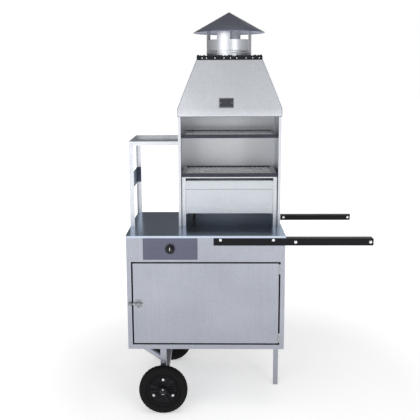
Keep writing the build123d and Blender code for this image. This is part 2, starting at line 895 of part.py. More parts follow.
with BuildPart() as hood_back:
    add(hood_shell.part)
    extrude(wedge(inner_back_y, 1), amount=2 * reach, mode=Mode.INTERSECT)
finish(hood_back, "hood_back")

with BuildPart() as hood_sides:
    add(hood_shell.part)
    extrude(wedge(inner_front_y, -1), amount=2 * reach, mode=Mode.SUBTRACT)
    extrude(wedge(inner_back_y, 1), amount=2 * reach, mode=Mode.SUBTRACT)
finish(hood_sides, "hood_sides")

chimney_bore = chimney_diameter / 2 - sheet
with BuildPart() as hood_crown:
    block(
        (house_mid_x - hood_top_width / 2, house_mid_x + hood_top_width / 2),
        (house_mid_y - hood_top_depth / 2, house_mid_y + hood_top_depth / 2),
        (hood_top_level, crown_top),
    )
    block(
        (house_mid_x - hood_top_width / 2 + sheet, house_mid_x + hood_top_width / 2 - sheet),
        (house_mid_y - hood_top_depth / 2 + sheet, house_mid_y + hood_top_depth / 2 - sheet),
        (hood_top_level + sheet, crown_top),
        mode=Mode.SUBTRACT,
    )
    rod(
        (house_mid_x, house_mid_y, hood_top_level - 1),
        (0, 0, 1),
        chimney_bore,
        crown_height,
        Mode.SUBTRACT,
    )
finish(hood_crown, "hood_crown")

with BuildPart() as chimney_collar:
    with BuildSketch(upright(house_mid_x, house_mid_y, hood_top_level + sheet)):
        Circle(chimney_diameter / 2)
        Circle(chimney_bore, mode=Mode.SUBTRACT)
    extrude(amount=chimney_top - hood_top_level - sheet)
finish(chimney_collar, "chimney_collar")

cap_slope = cap_height / (cap_diameter / 2)
with BuildPart() as chimney_cap:
    section = Plane(origin=(house_mid_x, house_mid_y, 0), x_dir=(1, 0, 0), z_dir=(0, -1, 0))
    cap_drop = sheet * 1.15
    with BuildSketch(section):
        with BuildLine():
            Polyline(
                (0, cap_peak_height),
                (cap_diameter / 2, cap_rim),
                (cap_diameter / 2, cap_rim - cap_drop),
                (0, cap_peak_height - cap_drop),
                (0, cap_peak_height),
            )
        make_face()
    revolve(axis=Axis((house_mid_x, house_mid_y, 0), (0, 0, 1)))
finish(chimney_cap, "chimney_cap")

strap_radius = chimney_diameter / 2 + seat_gap
strap_top = cap_peak_height - cap_drop - cap_slope * (strap_radius + 2 * sheet) - seat_gap
strap_foot = crown_top + 6.0
strap_count = 4
with BuildPart() as cap_straps:
    strap_plane = upright(house_mid_x, house_mid_y, strap_foot)
    with BuildSketch(strap_plane):
        Circle(strap_radius + sheet)
        Circle(strap_radius, mode=Mode.SUBTRACT)
        with BuildSketch(mode=Mode.INTERSECT):
            with PolarLocations(strap_radius, strap_count, start_angle=270 - strap_turn):
                Rectangle(60.0, strap_width)
    extrude(amount=strap_top - strap_foot)
finish(cap_straps, "cap_straps")

badge_width = 76.0
badge_height = 52.0
badge_level = skirt_top + 28.0
badge_thickness = 1.5
badge_offset = 17.0             # left of the middle
with BuildPart() as badge:
    lean = hood_slope_y / hood_height
    badge_plane = Plane(
        origin=(
            house_mid_x - badge_offset,
            house_mid_y - skirt_depth / 2 + lean * (badge_level - skirt_top),
            badge_level,
        ),
        x_dir=(1, 0, 0),
        z_dir=(0, -hood_height, hood_slope_y),
    )
    with BuildSketch(badge_plane):
        RectangleRounded(badge_width, badge_height, 3.0)
    extrude(amount=badge_thickness)
finish(badge, "badge")

# ---- grates, rails and burner stand --------------------------------------------------
mesh_thickness = 2.0
mesh_pitch = 16.0
mesh_hole = 11.0
rim_wall = 2.0


def grate(top):
    """A pierced sheet with a rail turned down around its edge."""
    mid_y = grate_front + grate_depth / 2
    columns = int((grate_width - 2 * grate_rail) // mesh_pitch)
    rows = int((grate_depth - 2 * grate_rail) // mesh_pitch)
    with BuildSketch(upright(house_mid_x, mid_y, top), mode=Mode.PRIVATE) as pierced:
        Rectangle(grate_width, grate_depth)
        with GridLocations(mesh_pitch, mesh_pitch, columns, rows):
            Rectangle(mesh_hole, mesh_hole, mode=Mode.SUBTRACT)
    extrude(pierced.sketch, amount=-mesh_thickness)
    with BuildSketch(upright(house_mid_x, mid_y, top), mode=Mode.PRIVATE) as skirt:
        Rectangle(grate_width, grate_depth)
        Rectangle(grate_width - 2 * rim_wall, grate_depth - 2 * rim_wall, mode=Mode.SUBTRACT)
    extrude(skirt.sketch, amount=-grate_height)


with BuildPart() as upper_grate:
    grate(upper_grate_top)
finish(upper_grate, "upper_grate")

with BuildPart() as lower_grate:
    grate(lower_grate_top)
finish(lower_grate, "lower_grate")

rail_level = upper_grate_top - grate_height - seat_gap - angle_wall
rail_leg = stand_left - house_left - sheet + 14.0   # reaches under the grate
rail_drop = 16.0
start_y = grate_front - 4.0
rail_run = grate_depth + 12.0
with BuildPart() as grate_rails:
    for wall_x, sign in ((house_left + sheet, 1), (house_right - sheet, -1)):
        side = Plane(origin=(wall_x, start_y, rail_level), x_dir=(sign, 0, 0), z_dir=(0, 1, 0))
        drop = -copysign(rail_drop, side.y_dir.Z)
        step = copysign(angle_wall, side.y_dir.Z)
        with BuildSketch(side):
            with BuildLine():
                Polyline(
                    (0, step),
                    (rail_leg, step),
                    (rail_leg, 0),
                    (angle_wall, 0),
                    (angle_wall, drop),
                    (0, drop),
                    (0, step),
                )
            make_face()
        extrude(amount=rail_run)
finish(grate_rails, "grate_rails")

box_left = stand_left + stand_angle + 1.0
box_right = stand_right - stand_angle - 1.0
box_front = grate_front + angle_wall + 1.0
box_back = stand_back - angle_wall - 1.0
box_top = box_bottom + box_height
leg_top = stand_top - angle_wall
shelf_reach = 6.0              # under the box's edge
stand_inner_x = (stand_left + angle_wall, stand_right - angle_wall)
stand_inner_y = (grate_front + angle_wall, stand_back - angle_wall)

with BuildPart() as burner_stand:
    for foot_x, leg_x in ((stand_left, stand_angle), (stand_right, -stand_angle)):
        for foot_y, leg_y in ((grate_front, stand_angle), (stand_back, -stand_angle)):
            angle_bar(upright(foot_x, foot_y, deck), leg_x, leg_y, angle_wall, leg_top - deck)
    block((stand_left, stand_right), (grate_front, stand_back), (leg_top - 4.0, stand_top))
    block(
        (box_left, box_right),
        (grate_front + stand_angle, stand_back - stand_angle),
        (leg_top - 5.0, stand_top + 1.0),
        mode=Mode.SUBTRACT,
    )
    block(stand_inner_x, stand_inner_y, (leg_top - 5.0, leg_top), mode=Mode.SUBTRACT)
    for shelf_x in (
        (stand_inner_x[0], box_left + shelf_reach),
        (box_right - shelf_reach, stand_inner_x[1]),
    ):
        block(shelf_x, stand_inner_y, (box_bottom - angle_wall, box_bottom))
finish(burner_stand, "burner_stand")

with BuildPart() as burner_box:
    block((box_left, box_right), (box_front, box_back), (box_bottom, box_top))
    block(
        (box_left + sheet, box_right - sheet),
        (box_front + sheet, box_back - sheet),
        (box_bottom + sheet, box_top),
        mode=Mode.SUBTRACT,
    )
    rod((pipe_x, pipe_y, box_bottom - 1), (0, 0, 1), pipe_hole, 5.0, Mode.SUBTRACT)
finish(burner_box, "burner_box")

tray_floor = box_top + seat_gap
plate_bottom = box_top + tray_gap
air_hole = 5.0                 # radius
with BuildPart() as ember_tray:
    block(
        (box_left, box_right),
        (grate_front, grate_front + sheet),
        (plate_bottom, plate_bottom + tray_height),
    )
    block(
        (box_left, box_right),
        (grate_front + sheet, box_back),
        (tray_floor, tray_floor + tray_depth),
    )
    block(
        (box_left + sheet, box_right - sheet),
        (grate_front + sheet, box_back - sheet),
        (tray_floor + sheet, tray_floor + tray_depth),
        mode=Mode.SUBTRACT,
    )
    with BuildSketch(upright(burner_x, burner_y, tray_floor)):
        with GridLocations(30.0, 30.0, 13, 8):
            Circle(air_hole)
    extrude(amount=sheet, mode=Mode.SUBTRACT)
finish(ember_tray, "ember_tray")

# ---- rivets --------------------------------------------------------------------------
rivet_radius = 3.5
post_bolt_radius = 6.0
rivet_proud = 1.4
rivet_inset = 6.0
rivet_levels = (deck - 73.0, opening_top + 8.0)
with BuildPart() as rivets:
    for rivet_x in (left + rivet_inset, right - rivet_inset):
        for rivet_z in rivet_levels:
            rod((rivet_x, front, rivet_z), (0, -1, 0), rivet_radius, rivet_proud)
    rod((left + 540.0, front, under + rail_height / 2), (0, -1, 0), rivet_radius, rivet_proud)
    post_bolt_z = tyre_diameter + post_bolt_radius
    rod((axle_x, front, post_bolt_z), (0, -1, 0), post_bolt_radius, rivet_proud)
finish(rivets, "rivets")
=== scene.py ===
# %% [markdown]
# # A push cart with a hooded grill
#
# The real cart is folded galvanised sheet: a cabinet on two wheels and one leg, a hood with
# a chimney over two grates, a side rack, and black handles to push it by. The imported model
# gives every size. This lesson adds what a maker's hands and machines leave on it: rounded
# folds, weld beads, rivets, woven mesh, tyre lugs, and a finish for each metal.

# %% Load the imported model
import json
from math import cos, pi, radians, sin
from random import Random

import bmesh
import bpy
from mathutils import Matrix, Vector

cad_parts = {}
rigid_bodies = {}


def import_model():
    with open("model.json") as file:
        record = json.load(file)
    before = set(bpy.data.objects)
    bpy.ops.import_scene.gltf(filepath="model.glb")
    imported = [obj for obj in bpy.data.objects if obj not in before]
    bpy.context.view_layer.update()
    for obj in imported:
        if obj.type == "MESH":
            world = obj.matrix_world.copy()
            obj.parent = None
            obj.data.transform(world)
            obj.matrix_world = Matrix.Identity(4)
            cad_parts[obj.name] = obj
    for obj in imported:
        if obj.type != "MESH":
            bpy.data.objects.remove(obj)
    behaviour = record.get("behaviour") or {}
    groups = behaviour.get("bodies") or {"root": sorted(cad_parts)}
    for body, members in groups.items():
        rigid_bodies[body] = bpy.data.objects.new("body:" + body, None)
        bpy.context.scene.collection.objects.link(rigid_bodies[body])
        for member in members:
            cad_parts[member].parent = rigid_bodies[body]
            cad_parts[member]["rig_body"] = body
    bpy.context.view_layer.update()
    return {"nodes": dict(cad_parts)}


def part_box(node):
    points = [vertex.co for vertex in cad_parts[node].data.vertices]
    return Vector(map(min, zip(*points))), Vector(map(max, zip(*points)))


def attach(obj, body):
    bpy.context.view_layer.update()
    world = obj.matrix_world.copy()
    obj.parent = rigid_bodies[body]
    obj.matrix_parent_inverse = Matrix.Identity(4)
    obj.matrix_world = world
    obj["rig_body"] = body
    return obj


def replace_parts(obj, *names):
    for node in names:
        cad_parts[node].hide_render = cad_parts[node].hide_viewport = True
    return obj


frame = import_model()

nodes = frame["nodes"]
body_of = {name: piece["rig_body"] for name, piece in nodes.items()}

# %% [markdown]
# ## Helpers for shader nodes
#
# Every finish is made of shader nodes. Two small helpers keep that readable: one adds a
# node and fills its sockets from values or links, the other starts a node group with named
# sockets, so an effect that many metals share is built once and placed in each.


# %% Add nodes and start groups
def add(tree, kind, values=None, **settings):
    """Add a shader node. Values go to its inputs: a socket is linked, anything else is set."""
    node = tree.nodes.new("ShaderNode" + kind)
    for key, value in settings.items():
        setattr(node, key, value)
    for key, value in (values or {}).items():
        if isinstance(value, bpy.types.NodeSocket):
            tree.links.new(value, node.inputs[key])
        else:
            node.inputs[key].default_value = value
    return node


def start_group(name, inputs, outputs):
    """A node group with named sockets: returns it, its input node and its output node."""
    group = bpy.data.node_groups.new(name, "ShaderNodeTree")
    for title, kind, value in inputs:
        socket = group.interface.new_socket(title, in_out="INPUT", socket_type=kind)
        socket.default_value = value
    for title in outputs:
        group.interface.new_socket(title, in_out="OUTPUT", socket_type="NodeSocketFloat")
    return group, group.nodes.new("NodeGroupInput"), group.nodes.new("NodeGroupOutput")


def place(tree, group, values):
    """Put a group in a material and fill its inputs."""
    return add(tree, "Group", values, node_tree=group)


def maths(tree, operation, first, second):
    """A two-input maths node's result."""
    return add(tree, "Math", {0: first, 1: second}, operation=operation).outputs[0]


FLOAT, VECTOR = "NodeSocketFloat", "NodeSocketVector"
print("helpers ready")

# %% [markdown]
# ## Rolled grain
#
# Sheet leaves the mill with fine streaks along the way it was rolled, and with slow, cloudy
# changes in brightness. A ready-made texture could be wrapped on, but noise that is
# stretched along the rolling direction has no seams and works on every face. The Stretch
# input holds how tightly the noise is packed along each axis.

# %% Group: rolled grain
grain_group, group_in, group_out = start_group(
    "rolled_grain",
    [("Vector", VECTOR, (0, 0, 0)), ("Stretch", VECTOR, (3, 3, 500)), ("Cloud Scale", FLOAT, 4.0)],
    ["Streak", "Cloud"],
)
packed = add(grain_group, "VectorMath", {0: group_in.outputs["Vector"],
             1: group_in.outputs["Stretch"]}, operation="MULTIPLY")
streaks = add(grain_group, "TexNoise", {"Vector": packed.outputs[0], "Scale": 1.0,
              "Detail": 3.0, "Roughness": 0.6})
clouds = add(grain_group, "TexNoise", {"Vector": group_in.outputs["Vector"],
             "Scale": group_in.outputs["Cloud Scale"], "Detail": 2.0})
grain_group.links.new(streaks.outputs["Fac"], group_out.inputs["Streak"])
grain_group.links.new(clouds.outputs["Fac"], group_out.inputs["Cloud"])
print("rolled grain:", [s.name for s in grain_group.interface.items_tree])

# %% [markdown]
# ## Spangle
#
# Hot zinc freezes in flat crystals, each a little brighter or duller than the next. A
# Voronoi texture gives one random value per cell, which is exactly that. A little noise
# pushes the cell borders about, so they look frozen and not cut.

# %% Group: spangle
spangle_group, group_in, group_out = start_group(
    "zinc_spangle",
    [("Vector", VECTOR, (0, 0, 0)), ("Crystals Per Metre", FLOAT, 90.0)],
    ["Flake", "Border"],
)
wobble = add(spangle_group, "TexNoise", {"Vector": group_in.outputs["Vector"], "Scale": 60.0})
shift = add(spangle_group, "VectorMath", {0: wobble.outputs["Color"], "Scale": 0.008},
            operation="SCALE")
moved = add(spangle_group, "VectorMath", {0: group_in.outputs["Vector"], 1: shift.outputs[0]})
cells = add(spangle_group, "TexVoronoi", {"Vector": moved.outputs[0],
            "Scale": group_in.outputs["Crystals Per Metre"]})
parts = add(spangle_group, "SeparateColor", {"Color": cells.outputs["Color"]})
spangle_group.links.new(parts.outputs[0], group_out.inputs["Flake"])
spangle_group.links.new(cells.outputs["Distance"], group_out.inputs["Border"])
print("spangle:", [s.name for s in spangle_group.interface.items_tree])

# %% [markdown]
# ## Worn edges
#
# Handling polishes the folds and rubs paint off corners first. On bare metal the same edge
# mask also brightens the folds as a painted highlight. A Bevel node gives the normal that a
# rounded edge would have. Where it differs from the true normal there is an edge, and a noise
# breaks the line up, since wear is never even.

# %% Group: worn and highlit edges
edge_wear_and_highlight_group, group_in, group_out = start_group(
    "worn_and_highlit_edges",
    [("Vector", VECTOR, (0, 0, 0)), ("Width", FLOAT, 0.003), ("Breakup", FLOAT, 0.5)],
    ["Edge"],
)
rounded = add(edge_wear_and_highlight_group, "Bevel", {"Radius": group_in.outputs["Width"]}, samples=4)
surface = add(edge_wear_and_highlight_group, "NewGeometry")
agree = add(edge_wear_and_highlight_group, "VectorMath", {0: rounded.outputs[0], 1: surface.outputs["Normal"]},
            operation="DOT_PRODUCT")
differ = maths(edge_wear_and_highlight_group, "SUBTRACT", 1.0, agree.outputs["Value"])
edge = add(edge_wear_and_highlight_group, "MapRange", {"Value": differ, "From Min": 0.02, "From Max": 0.2})
patches = add(edge_wear_and_highlight_group, "TexNoise", {"Vector": group_in.outputs["Vector"], "Scale": 45.0,
              "Detail": 4.0})
patchy = add(edge_wear_and_highlight_group, "MapRange", {"Value": patches.outputs["Fac"], "From Min": 0.35,
             "From Max": 0.65})
broken = add(edge_wear_and_highlight_group, "Mix", {"Factor": group_in.outputs["Breakup"], "A": 1.0,
             "B": patchy.outputs[0]})
edge_wear_and_highlight_group.links.new(maths(edge_wear_and_highlight_group, "MULTIPLY", edge.outputs[0], broken.outputs[0]),
                     group_out.inputs["Edge"])
print("worn edges:", [s.name for s in edge_wear_and_highlight_group.interface.items_tree])

# %% [markdown]
# ## Dust
#
# Dust settles on what faces up and is thrown on what is near the ground. The mask adds the
# two, and a fine noise makes it grainy. On the firebox the same mask, in near black, is
# painted shade under the grates.

# %% Group: dust and painted shade
dust_and_shade_group, group_in, group_out = start_group(
    "settled_dust_and_shade",
    [("Vector", VECTOR, (0, 0, 0)), ("Ground Height", FLOAT, 0.3), ("Amount", FLOAT, 0.3)],
    ["Mask"],
)
facing = add(dust_and_shade_group, "NewGeometry")
normal_parts = add(dust_and_shade_group, "SeparateXYZ", {0: facing.outputs["Normal"]})
upward = add(dust_and_shade_group, "MapRange", {"Value": normal_parts.outputs["Z"], "From Min": 0.3,
             "From Max": 1.0, "To Max": 0.6})
place_parts = add(dust_and_shade_group, "SeparateXYZ", {0: group_in.outputs["Vector"]})
low = add(dust_and_shade_group, "MapRange", {"Value": place_parts.outputs["Z"], "From Min": 0.0,
          "From Max": group_in.outputs["Ground Height"], "To Min": 1.0, "To Max": 0.0})
grains = add(dust_and_shade_group, "TexNoise", {"Vector": group_in.outputs["Vector"], "Scale": 35.0,
             "Detail": 6.0, "Roughness": 0.7})
both = maths(dust_and_shade_group, "ADD", upward.outputs[0], low.outputs[0])
grainy = maths(dust_and_shade_group, "MULTIPLY", both, grains.outputs["Fac"])
dust_and_shade_group.links.new(maths(dust_and_shade_group, "MULTIPLY", grainy, group_in.outputs["Amount"]),
                     group_out.inputs["Mask"])
print("dust:", [s.name for s in dust_and_shade_group.interface.items_tree])

# %% [markdown]
# ## Sheet metal finishes
#
# The hood, cabinet and worktop are all steel, yet they look different: spangled and pale,
# satin, or dark and mirror-like. One function builds them all from the shared groups, and
# each finish only chooses its colours, gloss, grain direction and how wavy the thin sheet
# is. The waves matter most: flat sheet is never quite flat, and its reflections show it.


# %% Colours and new materials
COLOUR_A, COLOUR_B = 6, 7      # a Mix node's two colour inputs
MIXED_COLOUR = 2               # and its colour output


def mix_colour(tree, factor, first, second):
    """A colour mix node's result. Each colour is a socket or its red, green and blue."""
    colours = [part if isinstance(part, bpy.types.NodeSocket) else (*part, 1.0)
               for part in (first, second)]
    node = add(tree, "Mix", {"Factor": factor, COLOUR_A: colours[0], COLOUR_B: colours[1]},
               data_type="RGBA")
    return node.outputs[MIXED_COLOUR]


def new_material(name):
    """An empty material: returns it, its tree, its main shader and object coordinates."""
    material = bpy.data.materials.new(name)
    material.use_nodes = True
    tree = material.node_tree
    shader = tree.nodes["Principled BSDF"]
    where = add(tree, "TexCoord").outputs["Object"]
    return material, tree, shader, where


finishes = {}
print("a finish is kept under its name")


# %% Sheet metal
# edges are brightened partly by polish and partly as a painted highlight
EDGE_POLISH_AND_HIGHLIGHT = 0.35             # how much brighter worn edges are
PALE_DUST = (0.36, 0.33, 0.29)


def sheet_metal(name, dark, light, rough, stretch, flake=0.3, streak=0.3, waves=0.004,
                crystals=90.0, dust_and_shade=0.1, grazing=(1.0, 1.0, 1.0), dust_and_shade_colour=PALE_DUST,
                metallic=1.0):
    """A metal sheet: dark and light are its two tones, rough its lowest and highest roughness.

    Waves is the height of the sheet's slow swells, in metres.
    """
    material, tree, shader, where = new_material(name)
    grain = place(tree, grain_group, {"Vector": where, "Stretch": stretch})
    zinc = place(tree, spangle_group, {"Vector": where, "Crystals Per Metre": crystals})
    edge_wear_and_highlight = place(tree, edge_wear_and_highlight_group, {"Vector": where, "Width": 0.0025})
    dust_and_shade_mask = place(tree, dust_and_shade_group, {"Vector": where, "Amount": dust_and_shade})
    tone = maths(tree, "ADD", maths(tree, "MULTIPLY", zinc.outputs["Flake"], flake),
                 maths(tree, "MULTIPLY", grain.outputs["Streak"], streak))
    tone = maths(tree, "ADD", tone, maths(tree, "MULTIPLY", grain.outputs["Cloud"],
                                          1.0 - flake - streak))
    colour = mix_colour(tree, tone, dark, light)
    # brighter edges: part polish from handling, part painted highlight
    bright = tuple(min(1.0, part * 1.25) for part in light)
    edge_polish_and_highlight = maths(tree, "MULTIPLY", edge_wear_and_highlight.outputs["Edge"], EDGE_POLISH_AND_HIGHLIGHT)
    colour = mix_colour(tree, edge_polish_and_highlight, colour, bright)
    # pale dust, and on the firebox a near-black painted shade
    colour = mix_colour(tree, dust_and_shade_mask.outputs["Mask"], colour, dust_and_shade_colour)
    tree.links.new(colour, shader.inputs["Base Color"])
    gloss = add(tree, "MapRange", {"Value": tone, "To Min": rough[1], "To Max": rough[0]})
    tree.links.new(maths(tree, "ADD", gloss.outputs[0],
                         maths(tree, "MULTIPLY", dust_and_shade_mask.outputs["Mask"], 0.4)),
                   shader.inputs["Roughness"])
    shader.inputs["Metallic"].default_value = metallic
    shader.inputs["Specular Tint"].default_value = (*grazing, 1.0)
    swell = add(tree, "TexNoise", {"Vector": where, "Scale": 5.0, "Detail": 1.0})
    wavy = add(tree, "Bump", {"Height": swell.outputs["Fac"], "Distance": waves,
               "Strength": 1.0})
    fine = add(tree, "Bump", {"Height": grain.outputs["Streak"], "Distance": 0.00004,
               "Strength": 0.6, "Normal": wavy.outputs[0]})
    tree.links.new(fine.outputs[0], shader.inputs["Normal"])
    finishes[name] = material


print("sheet metal recipe ready")

# %% Sheet finishes
LEVEL = (3.0, 3.0, 420.0)      # streaks run level round the cart
UPRIGHT = (420.0, 420.0, 3.0)  # streaks run up and down
ALONG = (2.0, 420.0, 420.0)    # streaks run along the cart's length

sheet_metal("galvanised", (0.46, 0.48, 0.51), (0.67, 0.69, 0.73), (0.32, 0.46), LEVEL,
            flake=0.28, streak=0.46, crystals=150.0)
# a paler, less metallic copy of galvanised for the housing's back wall: painted light in the shaded
# cavity
sheet_metal("inner_wall_painted_light", (0.72, 0.735, 0.77), (0.90, 0.915, 0.95), (0.34, 0.5), UPRIGHT,
            flake=0.2, streak=0.45, crystals=150.0, dust_and_shade=0.02, metallic=0.4)
sheet_metal("cabinet_steel", (0.25, 0.265, 0.305), (0.44, 0.455, 0.51), (0.34, 0.48), UPRIGHT,
            flake=0.16, streak=0.44, crystals=220.0)
sheet_metal("worktop_steel", (0.35, 0.40, 0.48), (0.49, 0.55, 0.65), (0.16, 0.30), ALONG,
            flake=0.05, streak=0.4, waves=0.001, grazing=(0.8, 0.85, 0.9), dust_and_shade=0.03)
sheet_metal("band_steel", (0.07, 0.08, 0.11), (0.12, 0.13, 0.18), (0.3, 0.45), ALONG,
            flake=0.15, streak=0.4, waves=0.001, grazing=(0.6, 0.65, 0.7), dust_and_shade=0.05)
sheet_metal("chimney_cap", (0.19, 0.20, 0.26), (0.31, 0.325, 0.41), (0.36, 0.5), LEVEL,
            flake=0.25, waves=0.002)
# near-black steel for the control plate: a painted dark reflection
sheet_metal("plate_steel", (0.085, 0.09, 0.125), (0.145, 0.15, 0.20), (0.38, 0.5), ALONG,
            flake=0.05, streak=0.5, waves=0.001)
sheet_metal("frame_steel", (0.30, 0.31, 0.33), (0.48, 0.50, 0.53), (0.38, 0.55), ALONG,
            dust_and_shade=0.35)
# the firebox's near-black dust on its upward faces is painted shade under the grates
sheet_metal("firebox_steel", (0.40, 0.425, 0.45), (0.60, 0.63, 0.67), (0.34, 0.46), LEVEL,
            flake=0.12, dust_and_shade=1.6, dust_and_shade_colour=(0.015, 0.014, 0.014))
print("sheet finishes:", sorted(finishes))

# %% [markdown]
# ## Zinc, brass and iron
#
# Small turned and pressed pieces carry other coats: bright zinc with a faint yellow and
# blue bloom, drawn brass that has dulled, and an iron burner that fire has scaled.


# %% Small metal pieces
def turned_metal(name, low, high, rough, speckle, bump, tarnish=(0.2, 0.2, 0.2), metallic=1.0):
    """A metal with speckled tone, tarnish in the hollows of a noise, and edges brightened partly by
    wear and partly as a painted highlight.
    """
    material, tree, shader, where = new_material(name)
    spots = add(tree, "TexNoise", {"Vector": where, "Scale": speckle, "Detail": 5.0})
    stain = add(tree, "TexNoise", {"Vector": where, "Scale": speckle / 6, "Detail": 2.0})
    edge_wear_and_highlight = place(tree, edge_wear_and_highlight_group, {"Vector": where, "Width": 0.0012})
    colour = mix_colour(tree, spots.outputs["Fac"], low, high)
    stained = add(tree, "MapRange", {"Value": stain.outputs["Fac"], "From Min": 0.5,
                  "From Max": 0.8, "To Max": 0.5})
    colour = mix_colour(tree, stained.outputs[0], colour, tarnish)
    # brighter edges: part wear, part painted highlight
    bright = tuple(min(1.0, part * 1.3) for part in high)
    colour = mix_colour(tree, maths(tree, "MULTIPLY", edge_wear_and_highlight.outputs["Edge"], 0.6), colour, bright)
    tree.links.new(colour, shader.inputs["Base Color"])
    gloss = add(tree, "MapRange", {"Value": spots.outputs["Fac"], "To Min": rough[0],
                "To Max": rough[1]})
    tree.links.new(gloss.outputs[0], shader.inputs["Roughness"])
    shader.inputs["Metallic"].default_value = metallic
    pitted = add(tree, "Bump", {"Height": spots.outputs["Fac"], "Distance": bump,
                 "Strength": 0.5})
    tree.links.new(pitted.outputs[0], shader.inputs["Normal"])
    finishes[name] = material


turned_metal("zinc", (0.24, 0.26, 0.29), (0.56, 0.57, 0.57), (0.24, 0.42), 160.0, 0.00003,
             tarnish=(0.20, 0.19, 0.17))
turned_metal("brass", (0.09, 0.07, 0.045), (0.20, 0.155, 0.09), (0.28, 0.46), 90.0, 0.00003,
             tarnish=(0.12, 0.08, 0.05))
# a paler copy of zinc for bolts, rivets and pins: painted highlight on their heads
turned_metal("zinc_painted_light", (0.62, 0.64, 0.68), (0.92, 0.92, 0.92), (0.18, 0.3), 160.0,
             0.00003, tarnish=(0.5, 0.49, 0.45))
# a darker copy of zinc for the latch and badge border: painted shade that dulls its reflection
turned_metal("zinc_painted_shade", (0.10, 0.105, 0.125), (0.34, 0.35, 0.37), (0.3, 0.5), 110.0, 0.0001,
             tarnish=(0.10, 0.10, 0.11))
turned_metal("axle_steel", (0.02, 0.02, 0.022), (0.06, 0.058, 0.056), (0.35, 0.6), 140.0,
             0.0001, tarnish=(0.10, 0.05, 0.03))
# the grate frame's front and rear bars, darker than its zinc side rails: painted shade
turned_metal("grate_strip_painted_shade", (0.03, 0.031, 0.042), (0.07, 0.072, 0.092), (0.3, 0.5), 260.0,
             0.00005, tarnish=(0.03, 0.025, 0.025))
turned_metal("burner_iron", (0.05, 0.048, 0.046), (0.14, 0.12, 0.11), (0.6, 0.85), 220.0, 0.0005,
             tarnish=(0.15, 0.06, 0.03), metallic=0.6)
turned_metal("grate_steel", (0.42, 0.43, 0.45), (0.92, 0.93, 0.95), (0.22, 0.38), 300.0, 0.00002,
             tarnish=(0.12, 0.12, 0.14))
turned_metal("weld_metal", (0.30, 0.29, 0.28), (0.55, 0.54, 0.52), (0.35, 0.6), 260.0, 0.0002,
             tarnish=(0.22, 0.17, 0.12))
print("metal finishes:", len(finishes))

# %% [markdown]
# ## Paint, plastic and rubber
#
# These have no metal shine of their own. Gloss paint has a clear top layer with the faint
# dimples of orange peel, and steel shows where its edges have rubbed. Moulded plastic has
# a fine sand grain, and rubber is matt, with dust in its texture.


# %% Paint, plastic and rubber
ROAD_DUST = (0.20, 0.18, 0.16)
BARE_STEEL = (0.5, 0.5, 0.52)


def coated(name, low, high, rough, grain_scale, bump, coat=0.0, chipped=0.0, dust_and_shade=0.2,
           shine=0.3):
    """A non-metal surface, and where chipped is above 0, steel that shows at its edges."""
    material, tree, shader, where = new_material(name)
    grain = add(tree, "TexNoise", {"Vector": where, "Scale": grain_scale, "Detail": 3.0})
    cloud = add(tree, "TexNoise", {"Vector": where, "Scale": 9.0, "Detail": 3.0})
    edge_wear_and_highlight = place(tree, edge_wear_and_highlight_group, {"Vector": where, "Width": 0.0015, "Breakup": 0.9})
    dust_and_shade_mask = place(tree, dust_and_shade_group, {"Vector": where, "Amount": dust_and_shade})
    tone = maths(tree, "ADD", maths(tree, "MULTIPLY", grain.outputs["Fac"], 0.5),
                 maths(tree, "MULTIPLY", cloud.outputs["Fac"], 0.5))
    colour = mix_colour(tree, tone, low, high)
    bare = maths(tree, "MULTIPLY", edge_wear_and_highlight.outputs["Edge"], chipped)
    colour = mix_colour(tree, bare, colour, BARE_STEEL)
    colour = mix_colour(tree, dust_and_shade_mask.outputs["Mask"], colour, ROAD_DUST)
    tree.links.new(colour, shader.inputs["Base Color"])
    if chipped:
        tree.links.new(bare, shader.inputs["Metallic"])
    gloss = add(tree, "MapRange", {"Value": tone, "From Min": 0.3, "From Max": 0.7,
                "To Min": rough[0], "To Max": rough[1]})
    tree.links.new(maths(tree, "ADD", gloss.outputs[0],
                         maths(tree, "MULTIPLY", dust_and_shade_mask.outputs["Mask"], 0.5)),
                   shader.inputs["Roughness"])
    shader.inputs["Specular IOR Level"].default_value = shine
    shader.inputs["Coat Weight"].default_value = coat
    shader.inputs["Coat Roughness"].default_value = 0.12
    dimples = add(tree, "Bump", {"Height": grain.outputs["Fac"], "Distance": bump,
                  "Strength": 0.6})
    tree.links.new(dimples.outputs[0], shader.inputs["Normal"])
    finishes[name] = material


coated("handle_paint", (0.004, 0.004, 0.006), (0.010, 0.010, 0.013), (0.25, 0.38), 420.0,
       0.00006, coat=0.03, chipped=0.3, dust_and_shade=0.02, shine=0.1)
# near black on the hood crown: painted shade
coated("crown_painted_shade", (0.003, 0.004, 0.006), (0.016, 0.018, 0.024), (0.3, 0.5), 120.0, 0.0006,
       coat=0.02, dust_and_shade=0.05, shine=0.12)
coated("tyre", (0.004, 0.004, 0.005), (0.011, 0.011, 0.012), (0.6, 0.8), 500.0, 0.0001,
       dust_and_shade=0.03, shine=0.08)
coated("rim_plastic", (0.003, 0.003, 0.005), (0.009, 0.009, 0.012), (0.32, 0.44), 700.0,
       0.00005, dust_and_shade=0.02, shine=0.16)
coated("bush_nylon", (0.05, 0.05, 0.05), (0.10, 0.10, 0.10), (0.4, 0.5), 500.0, 0.00004)
coated("knob_plastic", (0.003, 0.003, 0.004), (0.008, 0.008, 0.010), (0.14, 0.24), 600.0,
       0.00002, coat=0.15, dust_and_shade=0.03, shine=0.2)
coated("mastic", (0.004, 0.004, 0.005), (0.020, 0.021, 0.026), (0.3, 0.6), 90.0, 0.0012,
       dust_and_shade=0.1, shine=0.4)
coated("badge", (0.025, 0.027, 0.04), (0.045, 0.047, 0.06), (0.25, 0.35), 300.0, 0.00002,
       coat=0.3, dust_and_shade=0.05)
